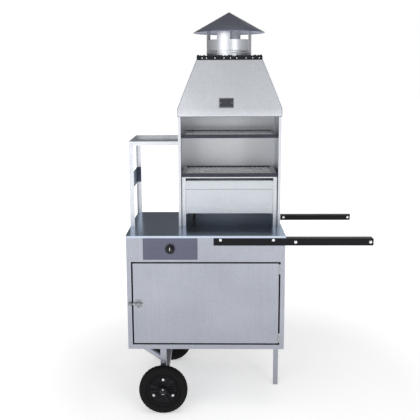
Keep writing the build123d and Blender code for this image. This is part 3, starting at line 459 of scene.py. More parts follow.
# the pointer's white: a painted mark, and also a painted highlight on the knob's bar
coated("pointer_paint_and_highlight", (0.72, 0.72, 0.70), (0.82, 0.82, 0.80), (0.35, 0.45), 300.0, 0.00002,
       dust_and_shade=0.05)
print("all finishes:", len(finishes))

# %% [markdown]
# ## Formed sheet
#
# A press brake leaves a small radius on every fold, and a guillotine a small burr on every
# edge. Both catch light, so a sheet with knife-sharp corners looks like a drawing. Each
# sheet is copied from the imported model, its triangles are merged back into whole faces,
# and a Bevel modifier rounds the edges. The copy replaces the node and rides its body.


# %% Formed sheet
SHEET_ROUND = 0.0004           # the rounding of a sheet's edges
CHANNEL_ROUND = 0.0012         # of the handles' edges
TUBE_ROUND = 0.002             # and of square tube


def add_object(name, data):
    """A new object in the scene."""
    thing = bpy.data.objects.new(name, data)
    bpy.context.scene.collection.objects.link(thing)
    return thing


def packed_shape(name):
    """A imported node's mesh to work on, with its doubled corners merged."""
    shape = bmesh.new()
    shape.from_mesh(nodes[name].data)
    bmesh.ops.remove_doubles(shape, verts=shape.verts, dist=0.00001)
    return shape


def dressed(name, material, edge_round=SHEET_ROUND):
    """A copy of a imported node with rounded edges, standing for that node."""
    shape = packed_shape(name)
    bmesh.ops.dissolve_limit(shape, angle_limit=radians(1), verts=shape.verts, edges=shape.edges)
    mesh = bpy.data.meshes.new(name + "_formed")
    shape.to_mesh(mesh)
    shape.free()
    mesh.materials.append(finishes[material])
    mesh.shade_smooth()
    piece = add_object(name + "_formed", mesh)
    rounder = piece.modifiers.new("rounded", "BEVEL")
    rounder.width = edge_round
    rounder.segments = 2
    rounder.limit_method = "ANGLE"
    rounder.angle_limit = radians(40)
    rounder.harden_normals = True
    rounder.use_clamp_overlap = True
    keep_flat = piece.modifiers.new("flats", "WEIGHTED_NORMAL")
    keep_flat.keep_sharp = True
    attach(piece, body_of[name])
    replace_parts(piece, name)


print("a sheet's edges are rounded by", SHEET_ROUND, "m")

# %% Dress the nodes
FORMED = {
    "galvanised": ("hood_front", "hood_back", "hood_sides", "housing_left", "housing_right",
                   "rack_posts", "rack_tray", "burner_stand", "grate_rails",
                   "chimney_collar", "cap_straps"),
    "inner_wall_painted_light": ("housing_back",),
    "cabinet_steel": ("front_panel", "door_frame", "side_panel_left", "side_panel_right",
                      "back_panel", "door", "support_leg", "wheel_posts", "braces"),
    "worktop_steel": ("worktop",),
    "band_steel": ("rack_band",),
    "plate_steel": ("control_plate",),
    "frame_steel": ("base_frame", "floor_panel", "corner_posts", "axle_beam"),
    "firebox_steel": ("burner_box", "ember_tray"),
    "crown_painted_shade": ("hood_crown",),
    "chimney_cap": ("chimney_cap",),
    "handle_paint": ("handle_front", "handle_rear"),
    "zinc_painted_shade": ("latch_plate", "latch_keeper"),
    "zinc": ("latch_bolt", "hinge_frame_leaves", "hinge_door_leaves", "hinge_pins"),
    "axle_steel": ("axle", "axle_washers"),
    "brass": ("gas_valve", "gas_pipe"),
    "burner_iron": ("burner",),
    "bush_nylon": ("hub_bush_front", "hub_bush_rear"),
}
TUBES = ("support_leg", "wheel_posts", "braces", "base_frame", "axle_beam")
CHANNELS = ("handle_front", "handle_rear")
rounding = dict.fromkeys(TUBES, TUBE_ROUND) | dict.fromkeys(CHANNELS, CHANNEL_ROUND)
for finish, names in FORMED.items():
    for node_name in names:
        dressed(node_name, finish, rounding.get(node_name, SHEET_ROUND))
print(sum(len(names) for names in FORMED.values()), "nodes dressed")

# %% [markdown]
# ## Turned pieces
#
# Bolts, rivets, tyres and caps are all round, so they start as a profile: a list of
# distances out from an axis and along it. Spinning the profile makes rings of points, and
# faces between each ring and the next make the surface.


# %% Rings and their faces
def circle(count, radius, along=0.0):
    """Points evenly round the Z axis, at one height along it."""
    return [Vector((radius * cos(2 * pi * k / count), radius * sin(2 * pi * k / count), along))
            for k in range(count)]


def facing_matrix(centre, direction):
    """Places a profile's axis on a direction, with its start at a centre."""
    tilt = Vector((0, 0, 1)).rotation_difference(Vector(direction)).to_matrix().to_4x4()
    return Matrix.Translation(Vector(centre)) @ tilt


def skin(shape, rings, closed=False):
    """Faces from each ring of corners to the next. A ring of one corner is a tip."""
    pairs = list(zip(rings, rings[1:]))
    if closed:
        pairs.append((rings[-1], rings[0]))
    for first, second in pairs:
        count = max(len(first), len(second))
        for k in range(count):
            after = (k + 1) % count
            if len(first) == 1:
                shape.faces.new((first[0], second[after], second[k]))
            elif len(second) == 1:
                shape.faces.new((first[k], first[after], second[0]))
            else:
                shape.faces.new((first[k], first[after], second[after], second[k]))


def cap_ends(shape, rings):
    """Close both ends of a tube made of rings."""
    shape.faces.new(rings[0][::-1])
    shape.faces.new(rings[-1])


def turn(shape, profile, centre, direction, steps=24, closed=False):
    """Spin (radius, along) pairs about a direction and add them to a mesh."""
    matrix = facing_matrix(centre, direction)
    rings = []
    for radius, along in profile:
        points = circle(steps, radius, along) if radius else [Vector((0, 0, along))]
        rings.append([shape.verts.new(matrix @ point) for point in points])
    skin(shape, rings, closed)
    return rings


print("a ring of 4 points:", [tuple(round(v) for v in point) for point in circle(4, 1.0)])


# %% Pieces and loose solids
def new_piece(name, shape, material, body, smooth=True, angle=30):
    """A finished mesh as a piece that rides a body."""
    mesh = bpy.data.meshes.new(name)
    bmesh.ops.recalc_face_normals(shape, faces=shape.faces)
    shape.to_mesh(mesh)
    shape.free()
    mesh.materials.append(finishes[material])
    piece = add_object(name, mesh)
    if smooth:
        mesh.shade_smooth()
        mesh.set_sharp_from_angle(angle=radians(angle))
    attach(piece, body)
    return piece


def islands(node_name):
    """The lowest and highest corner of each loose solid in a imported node."""
    shape = packed_shape(node_name)
    found, seen = [], set()
    for vert in shape.verts:
        if vert in seen:
            continue
        group, queue = [], [vert]
        seen.add(vert)
        while queue:
            here = queue.pop()
            group.append(here.co.copy())
            for link in here.link_edges:
                other = link.other_vert(here)
                if other not in seen:
                    seen.add(other)
                    queue.append(other)
        low = Vector(min(point[k] for point in group) for k in range(3))
        high = Vector(max(point[k] for point in group) for k in range(3))
        found.append((low, high))
    shape.free()
    return found


print("rivets:", len(islands("rivets")), "handle bolts:", len(islands("handle_bolts")))

# %% [markdown]
# ## Bolts and rivets
#
# A bolt head is a dome on a washer, its nut a hexagon with its corners turned off, and its
# thread a stack of rings. A pop rivet is a flat dome with a dimple where its mandrel broke.
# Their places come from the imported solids.


# %% Heads, nuts and threads
NUT_STEPS = 24
NUT_HEIGHT = 0.006
THREAD_RADIUS = 0.004
THREAD_PITCH = 0.00125


def dome_profile(radius, height):
    """A button head on a thin washer."""
    rim = [(0.0, height)]
    for k in range(1, 6):
        angle = k * pi / 10
        rim.append((radius * 0.82 * sin(angle), height * (0.25 + 0.75 * cos(angle))))
    return rim + [(radius, height * 0.22), (radius, 0.0), (0.0, 0.0)]


def add_nut(shape, centre, direction, radius):
    """A hexagon nut with turned corners."""
    matrix = facing_matrix(centre, direction)
    rings = []
    for share, along in ((0.9, 0.0), (1.0, 0.12), (1.0, 0.88), (0.9, 1.0)):
        ring = []
        for k in range(NUT_STEPS):
            angle = 2 * pi * k / NUT_STEPS
            flat = cos(pi / 6) / cos((angle % (pi / 3)) - pi / 6)
            reach = radius * min(flat, share)
            ring.append(shape.verts.new(
                matrix @ Vector((reach * cos(angle), reach * sin(angle), NUT_HEIGHT * along))))
        rings.append(ring)
    skin(shape, rings)
    cap_ends(shape, rings)


def add_thread(shape, centre, direction, length):
    """A threaded shank: shallow rings from end to end."""
    profile = [(0.0, 0.0)]
    turns = max(2, int(length / THREAD_PITCH))
    for k in range(turns):
        profile.append((THREAD_RADIUS * 0.88, length * k / turns))
        profile.append((THREAD_RADIUS, length * (k + 0.5) / turns))
    profile += [(THREAD_RADIUS * 0.8, length), (0.0, length)]
    turn(shape, profile, centre, direction, steps=12)


print("a dome has", len(dome_profile(1.0, 1.0)), "rings")

# %% Handle bolts
HEAD_HEIGHT = 0.003
HANDLE_WALL = 0.003
PANEL = 0.0012                 # the cabinet's sheet, which some of the bolts also hold
cabinet_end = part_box("worktop")[1].x
fasteners = bmesh.new()
for low, high in islands("handle_bolts"):
    middle = (low + high) / 2
    outward = -1 if middle.y < 0 else 1
    head_face, far_end = (low.y, high.y) if outward < 0 else (high.y, low.y)
    head_y = head_face - outward * HEAD_HEIGHT
    head_base = Vector((middle.x, head_y, middle.z))
    bolt_head = (high.x - low.x) / 2
    inward = Vector((0, -outward, 0))
    turn(fasteners, dome_profile(bolt_head, HEAD_HEIGHT), head_base, -inward, steps=32)
    held = HANDLE_WALL + (PANEL if middle.x < cabinet_end else 0.0)
    add_nut(fasteners, head_base + inward * held, inward, bolt_head)
    add_thread(fasteners, head_base, inward, abs(far_end - head_y))
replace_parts(new_piece("handle_fasteners", fasteners, "zinc_painted_light", "cart"), "handle_bolts")
print("handle bolts placed")

# %% Pop rivets
pops = bmesh.new()
for low, high in islands("rivets"):
    size = (high.x - low.x) / 2
    rise = high.y - low.y
    profile = [(0, rise * 0.55), (size * 0.25, rise * 0.6), (size * 0.32, rise),
               (size * 0.7, rise * 0.85), (size * 0.95, rise * 0.4), (size, 0), (0, 0)]
    turn(pops, profile, ((low.x + high.x) / 2, high.y, (low.z + high.z) / 2), (0, -1, 0))
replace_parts(new_piece("pop_rivets", pops, "zinc", "cart"), "rivets")
print("rivets placed")

# %% [markdown]
# ## Screws
#
# The latch is held by small screws with a cross in their heads. Each head is a low dome,
# and the cross is a pair of thin dark bars let into it: painted shade in the recess.


# %% Latch screws
def close_box(shape, points):
    """A box from its four lower corners and the four above them, both in order round."""
    verts = [shape.verts.new(point) for point in points]
    for ids in ((3, 2, 1, 0), (4, 5, 6, 7), (0, 1, 5, 4), (1, 2, 6, 5), (2, 3, 7, 6),
                (3, 0, 4, 7)):
        shape.faces.new([verts[k] for k in ids])


def add_block(shape, low, high):
    """A box between two corners."""
    outline = ((low[0], low[1]), (high[0], low[1]), (high[0], high[1]), (low[0], high[1]))
    close_box(shape, [(x, y, z) for z in (low[2], high[2]) for x, y in outline])


plate_low, plate_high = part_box("latch_plate")
keeper_low, keeper_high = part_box("latch_keeper")
keeper_x = (keeper_low.x + keeper_high.x) / 2 + 0.001
STRAP = 0.0012                 # thickness of the plates that the screws go through
SCREW_RADIUS = {"door": 0.0026, "cart": 0.0016}
screw_spots = {
    "door": [(x, z) for x in (plate_low.x + 0.0045, plate_high.x - 0.0045)
             for z in (plate_low.z + 0.0055, plate_high.z - 0.0055)],
    "cart": [(keeper_x, z) for z in (keeper_low.z + 0.0024, keeper_high.z - 0.0024)],
}
for body, spots in screw_spots.items():
    heads, slot_shade = bmesh.new(), bmesh.new()
    face = plate_high.y - STRAP
    size = SCREW_RADIUS[body]
    for x, z in spots:
        turn(heads, dome_profile(size, size * 0.5), (x, face, z), (0, -1, 0), steps=16)
        for half_x, half_z in ((size * 0.6, size * 0.11), (size * 0.11, size * 0.6)):
            add_block(slot_shade, (x - half_x, face - size * 0.52, z - half_z),
                      (x + half_x, face - size * 0.40, z + half_z))
    new_piece("latch_screws_" + body, heads, "zinc_painted_light", body)
    # the dark cross bars are painted shade
    new_piece("latch_screw_slot_shade_" + body, slot_shade, "axle_steel", body, smooth=False)
print("latch screws on", list(screw_spots))

# %% [markdown]
# ## Tyres
#
# The tyre is solid rubber on a moulded rim. The tread has grooves round it and lugs across
# its shoulders, and the sidewall has fine raised rings. The gaps between lugs come from
# pulling every few columns of the turned mesh inwards.


# %% Tyres
TYRE_STEPS = 180
LUG_EVERY = 5                  # columns from one lug to the next
GAP_COLUMNS = 2
GAP_DEPTH = 0.0009


def tyre_outline(seat, radius):
    """The tyre's section from its seat to the middle of the tread, as (radius, share) pairs.

    The share is of the tyre's half width.
    """
    side = [(seat, 0.55), (seat + 0.002, 0.70), (seat + 0.004, 0.78), (seat + 0.006, 0.78),
            (seat + 0.007, 0.84), (seat + 0.009, 0.84), (seat + 0.010, 0.90),
            (seat + 0.014, 0.96), (seat + 0.020, 1.0), (radius - 0.014, 1.0),
            (radius - 0.010, 0.97), (radius - 0.006, 0.90), (radius - 0.003, 0.80)]
    tread = [(radius - 0.0012, 0.66), (radius - 0.0008, 0.50), (radius - 0.004, 0.47),
             (radius - 0.004, 0.40), (radius - 0.0003, 0.37), (radius, 0.12),
             (radius - 0.004, 0.09)]
    return side + tread


for place_name in ("front", "rear"):
    low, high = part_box("tyre_" + place_name)
    hub = (low + high) / 2
    radius = (high.z - low.z) / 2
    half = (high.y - low.y) / 2
    rim_low, rim_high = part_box("rim_" + place_name)
    outline = tyre_outline((rim_high.z - rim_low.z) / 2 + 0.0003, radius)
    profile = [(r, half * share) for r, share in outline]
    profile += [(r, -half * share) for r, share in reversed(outline)]
    rubber = bmesh.new()
    rings = turn(rubber, profile, hub, (0, 1, 0), steps=TYRE_STEPS, closed=True)
    for (reach, along), ring in zip(profile, rings):
        if reach < radius - 0.007 or abs(along) < half * 0.49:
            continue
        stagger = 2 if along > 0 else 0
        for k, vert in enumerate(ring):
            if (k + stagger) % LUG_EVERY < GAP_COLUMNS:
                away = vert.co - hub
                away.y = 0
                vert.co -= away.normalized() * GAP_DEPTH
    tyre = new_piece("tyre_rubber_" + place_name, rubber, "tyre", "wheel_" + place_name,
                     angle=35)
    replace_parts(tyre, "tyre_" + place_name)
print("tyre radius", round(radius, 4), "half width", round(half, 4))

# %% [markdown]
# ## Rims and their bolts
#
# Each rim is a dish with ribs that stiffen it from the hub to the lip. Three bolts go
# through it, bright against the black, each in a raised boss. On the outer face a few ribs
# are left out, so three of the others stand apart.


# %% Rims
BOLT_CIRCLE = 0.057            # radius from the axle to a rim bolt
BOSS_HEIGHT = 0.0128
RIBS = 24
RIB_START = 0.024              # radius where a rib leaves the hub
bolt_spots = [Vector((BOLT_CIRCLE * cos(angle), 0, BOLT_CIRCLE * sin(angle)))
              for angle in (pi / 2 + 2 * pi * k / 3 for k in range(3))]


def add_rib(shape, middle, sizes, spin, face_side):
    """A rib on a wheel's face, smaller at its top and turned about the axle."""
    length, thick, rise = sizes
    turned = Matrix.Rotation(spin, 3, "Y")
    corners = []
    for up, shorter, thinner in ((-1, 1.0, 1.0), (1, 0.93, 0.75)):
        for a, b in ((-1, -1), (1, -1), (1, 1), (-1, 1)):
            corners.append(turned @ Vector((middle[0] + a * length * shorter,
                                            middle[1] + face_side * up * rise,
                                            b * thick * thinner)))
    close_box(shape, corners)


def rim_dish(place_name, out):
    """A moulded rim with its ribs and bolt bosses. Out is the way its outer face looks."""
    low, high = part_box("rim_" + place_name)
    edge_radius = (high.z - low.z) / 2
    hub_half = (high.y - low.y) / 2
    bush_low, bush_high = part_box("hub_bush_" + place_name)
    bore = (bush_high.z - bush_low.z) / 2
    half_profile = [(bore + 0.0002, hub_half), (0.0205, hub_half), (0.022, hub_half - 0.0015),
                    (0.0235, 0.010), (0.026, 0.008), (0.048, 0.0065), (edge_radius - 0.013, 0.008),
                    (edge_radius - 0.009, 0.011), (edge_radius - 0.005, 0.0175),
                    (edge_radius - 0.0035, 0.019), (edge_radius, 0.019)]
    profile = half_profile + [(r, -y) for r, y in reversed(half_profile)]
    plastic = bmesh.new()
    turn(plastic, profile, (0, 0, 0), (0, 1, 0), steps=96, closed=True)
    rib_end = edge_radius - 0.011
    for face_side in (1, -1):
        for k in range(RIBS):
            if k % 8 in (3, 5) and face_side == out:
                continue
            add_rib(plastic, ((RIB_START + rib_end) / 2, face_side * 0.0095),
                    ((rib_end - RIB_START) / 2, 0.0011, 0.0035), 2 * pi * k / RIBS, face_side)
        for spot in bolt_spots:
            turn(plastic, [(0.0, 0.0065), (0.011, 0.0065), (0.0105, 0.0125), (0.0, BOSS_HEIGHT)],
                 spot, (0, face_side, 0), steps=24)
    bmesh.ops.translate(plastic, vec=(low + high) / 2, verts=plastic.verts)
    rim = new_piece("rim_dish_" + place_name, plastic, "rim_plastic", "wheel_" + place_name)
    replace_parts(rim, "rim_" + place_name)


def rim_fasteners(place_name, out):
    """The three bolts through a rim, with their nuts on the inner face."""
    low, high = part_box("rim_" + place_name)
    lift = Vector((0, out * BOSS_HEIGHT, 0))
    steel = bmesh.new()
    for spot in bolt_spots:
        centre = (low + high) / 2 + spot
        turn(steel, dome_profile(0.0068, 0.0045), centre + lift, (0, out, 0), steps=24)
        add_nut(steel, centre - lift, (0, -out, 0), 0.007)
        add_thread(steel, centre + lift, (0, -out, 0), 0.0315)
    bolts = new_piece("rim_fasteners_" + place_name, steel, "zinc_painted_light", "wheel_" + place_name)
    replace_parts(bolts, "rim_bolts_" + place_name)


for place_name, out in (("front", -1), ("rear", 1)):
    rim_dish(place_name, out)
    rim_fasteners(place_name, out)
print("rims with", RIBS, "ribs and", len(bolt_spots), "bolts each")

# %% [markdown]
# ## Split pins
#
# A split pin is one half-round wire bent double: an eye at the top and two legs, opened
# under the axle so that it can't fall out. A curve with a round bevel draws the wire.


# %% Split pins
def wire(name, runs, radius, material, body):
    """Round wire along a smooth line through each list of control points."""
    curve = bpy.data.curves.new(name, "CURVE")
    curve.dimensions = "3D"
    curve.bevel_depth = radius
    curve.bevel_resolution = 3
    curve.use_fill_caps = True
    for points in runs:
        spline = curve.splines.new("NURBS")
        spline.points.add(len(points) - 1)
        for target, point in zip(spline.points, points):
            target.co = (*point, 1.0)
        spline.order_u = 3
        spline.use_endpoint_u = True
        spline.resolution_u = 6
    curve.materials.append(finishes[material])
    piece = add_object(name, curve)
    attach(piece, body)
    return piece


# one leg, as its lean from the middle and its height over the axle's centre
PIN_LEG = ((0, 0.0165), (0.0032, 0.0150), (0.0030, 0.0110), (0.0007, 0.0090), (0.0007, 0),
           (0.0007, -0.0095), (0.0020, -0.0120), (0.0075, -0.0135))
PIN_HEIGHT = 0.015             # a packed pin's main solid is at least this tall
AXLE_ABOVE_FOOT = 0.013
pin_runs = []
for low, high in islands("cotter_pins"):
    if high.z - low.z < PIN_HEIGHT:
        continue
    x, y = (low.x + high.x) / 2, (low.y + high.y) / 2
    axle_level = low.z + AXLE_ABOVE_FOOT
    for side in (-1, 1):
        pin_runs.append([Vector((x + side * lean, y, axle_level + lift))
                         for lean, lift in PIN_LEG])
pins = wire("split_pins", pin_runs, 0.0012, "zinc_painted_light", "cart")
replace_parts(pins, "cotter_pins")
print(len(pin_runs), "pin legs")

# %% [markdown]
# ## Woven grates
#
# The grates are wire in a frame of folded strip: close wires run front to back, and a few
# cross wires hold them. They are woven, so each one is a gentle wave, and neighbours wave
# the opposite way. At the crossings they catch the light, which is why real mesh glitters.


# %% Woven mesh
def add_tube(shape, points, radius, sides):
    """A closed tube through points, made of plain rings."""
    rings = []
    for k, point in enumerate(points):
        ahead = points[min(k + 1, len(points) - 1)] - points[max(k - 1, 0)]
        matrix = facing_matrix(point, ahead)
        rings.append([shape.verts.new(matrix @ corner) for corner in circle(sides, radius)])
    skin(shape, rings)
    cap_ends(shape, rings)


def spread(first, last, steps):
    """Evenly spaced numbers from first to last."""
    return [first + (last - first) * n / steps for n in range(steps + 1)]


WIRE = 0.0015                  # a wire's radius, and how far it waves up and down
PITCH = 0.0122                 # between the wires that run front to back
CROSS_PITCH = 0.0280           # between the cross wires
STRIP = 0.018                  # width of the frame's top strip
WALL = 0.002                   # its wall
TUCK = 0.004                   # how far the wires reach in under it


def woven_mesh(level):
    """One grate's wires."""
    low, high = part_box(level + "_grate")
    mesh_level = high.z - 2.4 * WIRE
    start, end = low + Vector((STRIP, STRIP, 0)), high - Vector((STRIP, STRIP, 0))
    cross_lanes = int((end.y - start.y) / CROSS_PITCH)
    lanes = int((end.x - start.x) / PITCH)
    woven = bmesh.new()
    for k in range(1, cross_lanes):
        y = start.y + k * CROSS_PITCH
        stations = spread(start.x - TUCK, end.x + TUCK, lanes * 2)
        add_tube(woven, [Vector((x, y, mesh_level + WIRE * cos(pi * (n / 2 + k))))
                         for n, x in enumerate(stations)], WIRE, sides=5)
    for k in range(1, lanes):
        x = start.x + k * PITCH
        stations = spread(start.y - TUCK, end.y + TUCK, cross_lanes * 2)
        add_tube(woven, [Vector((x, y, mesh_level - WIRE * cos(pi * (n / 2 + k))))
                         for n, y in enumerate(stations)], WIRE, sides=5)
    piece = new_piece(level + "_wire", woven, "grate_steel", level + "_grate")
    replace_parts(piece, level + "_grate")
    return cross_lanes + lanes - 2


def grate_frame(level):
    """The folded strip round one grate: front and rear bars darkened as painted shade, bright rails
    at the sides.
    """
    low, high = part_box(level + "_grate")
    top, under_top, foot = high.z, high.z - WALL / 2, low.z
    bars, rails = bmesh.new(), bmesh.new()
    for y0, y1, wall_y in ((low.y, low.y + STRIP, low.y),
                           (high.y - STRIP, high.y, high.y - WALL)):
        add_block(bars, (low.x, y0, under_top), (high.x, y1, top))
        add_block(bars, (low.x, wall_y, foot), (high.x, wall_y + WALL, under_top))
    for x0, x1, wall_x in ((low.x, low.x + STRIP, low.x),
                           (high.x - STRIP, high.x, high.x - WALL)):
        add_block(rails, (x0, low.y + STRIP, under_top), (x1, high.y - STRIP, top))
        add_block(rails, (wall_x, low.y + WALL, foot), (wall_x + WALL, high.y - WALL, under_top))
    for piece_name, shape, finish in (("bars", bars, "grate_strip_painted_shade"), ("rails", rails, "zinc")):
        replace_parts(new_piece(level + "_grate_" + piece_name, shape, finish, level + "_grate",
                              smooth=False), level + "_grate")


for level in ("upper", "lower"):
    wires = woven_mesh(level)
    grate_frame(level)
print(wires, "wires in each grate")

# %% [markdown]
# ## Ember tray lip
#
# The top edge of the tray's front plate is hemmed: turned over on itself so that it is
# safe to pull.

# %% Tray lip
low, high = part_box("ember_tray")
END_GAP = 0.004                # from the lip's ends to the tray's sides
lip_ends = [Vector((x, low.y + 0.0012, high.z + 0.0008))
            for x in (low.x + END_GAP, high.x - END_GAP)]
lip = bmesh.new()
add_tube(lip, lip_ends, 0.0022, sides=10)
new_piece("ember_tray_lip", lip, "galvanised", "ember_tray")
print("tray lip at", round(high.z, 4))

# %% [markdown]
# ## Chimney
#
# The chimney's foot is snipped into tabs that are bent out and riveted to the crown, which is
# painted dark as shade.
# Two beads are rolled round the pipe above them to stiffen it. The cap is one sheet rolled
# to a cone: its seam laps and is riveted, and its rim is hemmed over wire.

# %% Chimney tabs
collar_low, collar_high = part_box("chimney_collar")
pipe_middle = (collar_low + collar_high) / 2
pipe_radius = (collar_high.x - collar_low.x) / 2
crown_low, crown_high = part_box("hood_crown")
TABS = 16
TAB_REACH = 0.010
TAB_HALF = 0.013               # half a tab's width at the pipe
TAB_THICK = 0.0012
tab_foot = Vector((pipe_middle.x, pipe_middle.y, crown_high.z + 0.0008))
tabs = bmesh.new()
for k in range(TABS):
    angle = 2 * pi * (k + 0.5) / TABS
    outward = Vector((cos(angle), sin(angle), 0))
    sideways = Vector((-sin(angle), cos(angle), 0))
    corners = [tab_foot + outward * (pipe_radius + reach) + sideways * TAB_HALF * share
               for reach, share in ((0, -1), (TAB_REACH, -0.8), (TAB_REACH, 0.8), (0, 1))]
    thickness = Vector((0, 0, TAB_THICK))
    close_box(tabs, corners + [point + thickness for point in corners])
    turn(tabs, dome_profile(0.0036, 0.002), sum(corners, Vector()) / 4 + thickness, (0, 0, 1),
         steps=12)
new_piece("chimney_tabs", tabs, "zinc", "cart")
print(TABS, "tabs")

# %% Chimney beads
BEAD_SWELL = 0.0022
bead_edge = pipe_radius - 0.0004
bead_profile = [(bead_edge, -0.006)]
bead_profile += [(pipe_radius + BEAD_SWELL * sin(pi * k / 8), -0.005 + 0.010 * k / 8)
                 for k in range(9)]
bead_profile += [(bead_edge, 0.006)]
bead = bmesh.new()
for lift in (0.014, 0.026):
    turn(bead, bead_profile, (pipe_middle.x, pipe_middle.y, crown_high.z + lift), (0, 0, 1),
         steps=96, closed=True)
new_piece("chimney_bead", bead, "galvanised", "cart")
print("pipe radius", round(pipe_radius, 4))

# %% Cap seam
cap_low, cap_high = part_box("chimney_cap")
cap_radius = (cap_high.x - cap_low.x) / 2
cap_drop = cap_high.z - cap_low.z - 0.0014
LAP_STEPS = 12
LAP_HALF = 0.010               # half the lap's width
seam_turn = Matrix.Rotation(radians(62), 3, "Z")
peak = Vector((pipe_middle.x, pipe_middle.y, cap_high.z))
lap = bmesh.new()
lap_rings = []
for k in range(LAP_STEPS + 1):
    share = 0.04 + 0.955 * k / LAP_STEPS
    half_width = LAP_HALF * min(1, share * 4)
    section = ((-half_width, 0.0001), (-half_width, 0.0012), (half_width, 0.0012),
               (half_width, 0.0001))
    lap_rings.append([lap.verts.new(seam_turn @ Vector((cap_radius * share, across,
                                                        rise - cap_drop * share))
                                    + peak - Vector((0, 0, 0.0002))) for across, rise in section])
skin(lap, lap_rings)
cap_ends(lap, lap_rings)
outward = seam_turn @ Vector((cap_drop, 0, cap_radius))
for share in (0.3, 0.55, 0.8, 0.95):
    spot = seam_turn @ Vector((cap_radius * share, 0, -cap_drop * share))
    turn(lap, dome_profile(0.0035, 0.002), spot + peak + Vector((0, 0, 0.0008)), outward, steps=12)
new_piece("cap_seam", lap, "chimney_cap", "cart")
print("cap radius", round(cap_radius, 4))

# %% Cap hem
HEM = 0.0020
hem = bmesh.new()
hem_profile = [(cap_radius - 0.0022 + point.x, point.y) for point in circle(10, HEM)]
turn(hem, hem_profile, (pipe_middle.x, pipe_middle.y, cap_low.z + 0.0012), (0, 0, 1), steps=128,
     closed=True)
new_piece("cap_hem", hem, "chimney_cap", "cart")
print("hem", HEM * 2, "m thick")

# %% [markdown]
# ## Crown seal and hood corners
#
# Fire cement is trowelled along the top of the crown to keep rain out, and dries black and
# lumpy. Bright rivets hold the crown to the hood below it. At the hood's corners the sheets
# are folded over each other, and the fold is a thin round edge from skirt to crown.

# %% Sealing bead
SEAL_STEP = 0.004              # between the bead's rings
SEAL_INSET = 0.006             # from the crown's edge
SEAL_RADIUS = 0.0034
chance = Random(11)
seal = bmesh.new()
seal_rings = []
crown_middle = (crown_low + crown_high) / 2
crown_top = Vector((crown_middle.x, crown_middle.y, crown_high.z))
half_x = (crown_high.x - crown_low.x) / 2 - SEAL_INSET
half_y = (crown_high.y - crown_low.y) / 2 - SEAL_INSET
corners = [Vector((-half_x, -half_y, 0)), Vector((half_x, -half_y, 0)),
           Vector((half_x, half_y, 0)), Vector((-half_x, half_y, 0))]
for start, end in zip(corners, corners[1:] + corners[:1]):
    steps = int((end - start).length / SEAL_STEP)
    side = (end - start).normalized()
    outward = Vector((side.y, -side.x, 0))
    for k in range(steps):
        spot = start.lerp(end, k / steps) + crown_top
        thick = SEAL_RADIUS + chance.uniform(-0.0012, 0.0022)
        tall = 1.0 + chance.uniform(-0.3, 0.6)
        seal_rings.append([seal.verts.new(spot + outward * point.x
                                          + Vector((0, 0, tall * point.y)))
                           for point in circle(8, thick)])
skin(seal, seal_rings, closed=True)
new_piece("crown_seal", seal, "mastic", "cart", angle=80)
print("sealing bead of", len(seal_rings), "rings")

# %% Crown rivets
CROWN_RIVETS = 9               # along each long side
crown_rivets = bmesh.new()
for k in range(CROWN_RIVETS):
    share = (k + 0.5 + chance.uniform(-0.28, 0.28)) / CROWN_RIVETS
    x = crown_low.x + (crown_high.x - crown_low.x) * share
    for y, out in ((crown_low.y, -1), (crown_high.y, 1)):
        turn(crown_rivets, dome_profile(0.0030, 0.0020), (x, y, crown_low.z + 0.010),
             (0, out, 0), steps=14)
new_piece("crown_rivets", crown_rivets, "zinc_painted_light", "cart")
print(CROWN_RIVETS * 2, "crown rivets")


# %% Hood corner folds
def corner_at(node_name, level, side):
    """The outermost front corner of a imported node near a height."""
    near = [v.co for v in nodes[node_name].data.vertices if abs(v.co.z - level) < 0.003]
    return min(near, key=lambda co: (round(co.y, 3), -side * co.x)).copy()


SKIRT = 0.042                  # height of the hood's upright skirt
hood_low, hood_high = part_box("hood_front")
levels = (hood_low.z, hood_low.z + SKIRT, hood_high.z - 0.001)
folds = bmesh.new()
for side in (-1, 1):
    add_tube(folds, [corner_at("hood_front", level, side) for level in levels], 0.0016, sides=8)
add_tube(folds, [corner_at("hood_front", hood_low.z, side) for side in (-1, 1)], 0.0018, sides=8)
new_piece("hood_folds", folds, "chimney_cap", "cart")
print("folds from", round(levels[0], 3), "to", round(levels[-1], 3))

# %% [markdown]
# ## Control knob
#
# The knob has a skirt, a fluted grip and a bar to turn it by, with a white line to show
# where it points, drawn wide enough to be also a painted highlight on the bar. Flutes come from a
# wavy radius.

# %% Knob grip
low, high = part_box("knob")
knob_middle = (low + high) / 2
knob_radius = (high.z - low.z) / 2
KNOB_STEPS = 96
FLUTES = 16
FLUTE_DEPTH = 0.035            # as a share of the radius
BAR_REACH = 0.64               # the bar's half length, as a share of the radius
BAR_HALF = 0.0035
knob_profile = [(0.0, 0.0), (knob_radius * 0.97, 0.0), (knob_radius, 0.0015),
                (knob_radius, 0.0045), (knob_radius * 0.93, 0.0068), (knob_radius * 0.74, 0.008),
                (knob_radius * 0.70, 0.010), (knob_radius * 0.67, 0.0200),
                (knob_radius * 0.62, 0.0222), (knob_radius * 0.36, 0.0226), (0.0, 0.0226)]
grip = bmesh.new()
rings = turn(grip, knob_profile, (knob_middle.x, high.y, knob_middle.z), (0, -1, 0),
             steps=KNOB_STEPS)
for ring in rings[6:8]:        # the two rings that bound the grip
    for k, vert in enumerate(ring):
        away = vert.co - Vector((knob_middle.x, vert.co.y, knob_middle.z))
        vert.co += away * FLUTE_DEPTH * (cos(2 * pi * k / KNOB_STEPS * FLUTES) - 1)
add_block(grip, (knob_middle.x - BAR_HALF, low.y + 0.0005, knob_middle.z - knob_radius * BAR_REACH),
          (knob_middle.x + BAR_HALF, high.y - 0.009, knob_middle.z + knob_radius * BAR_REACH))
knob_piece = new_piece("knob_grip", grip, "knob_plastic", "knob")
edge_round = knob_piece.modifiers.new("rounded", "BEVEL")
edge_round.width = 0.0006
edge_round.segments = 2
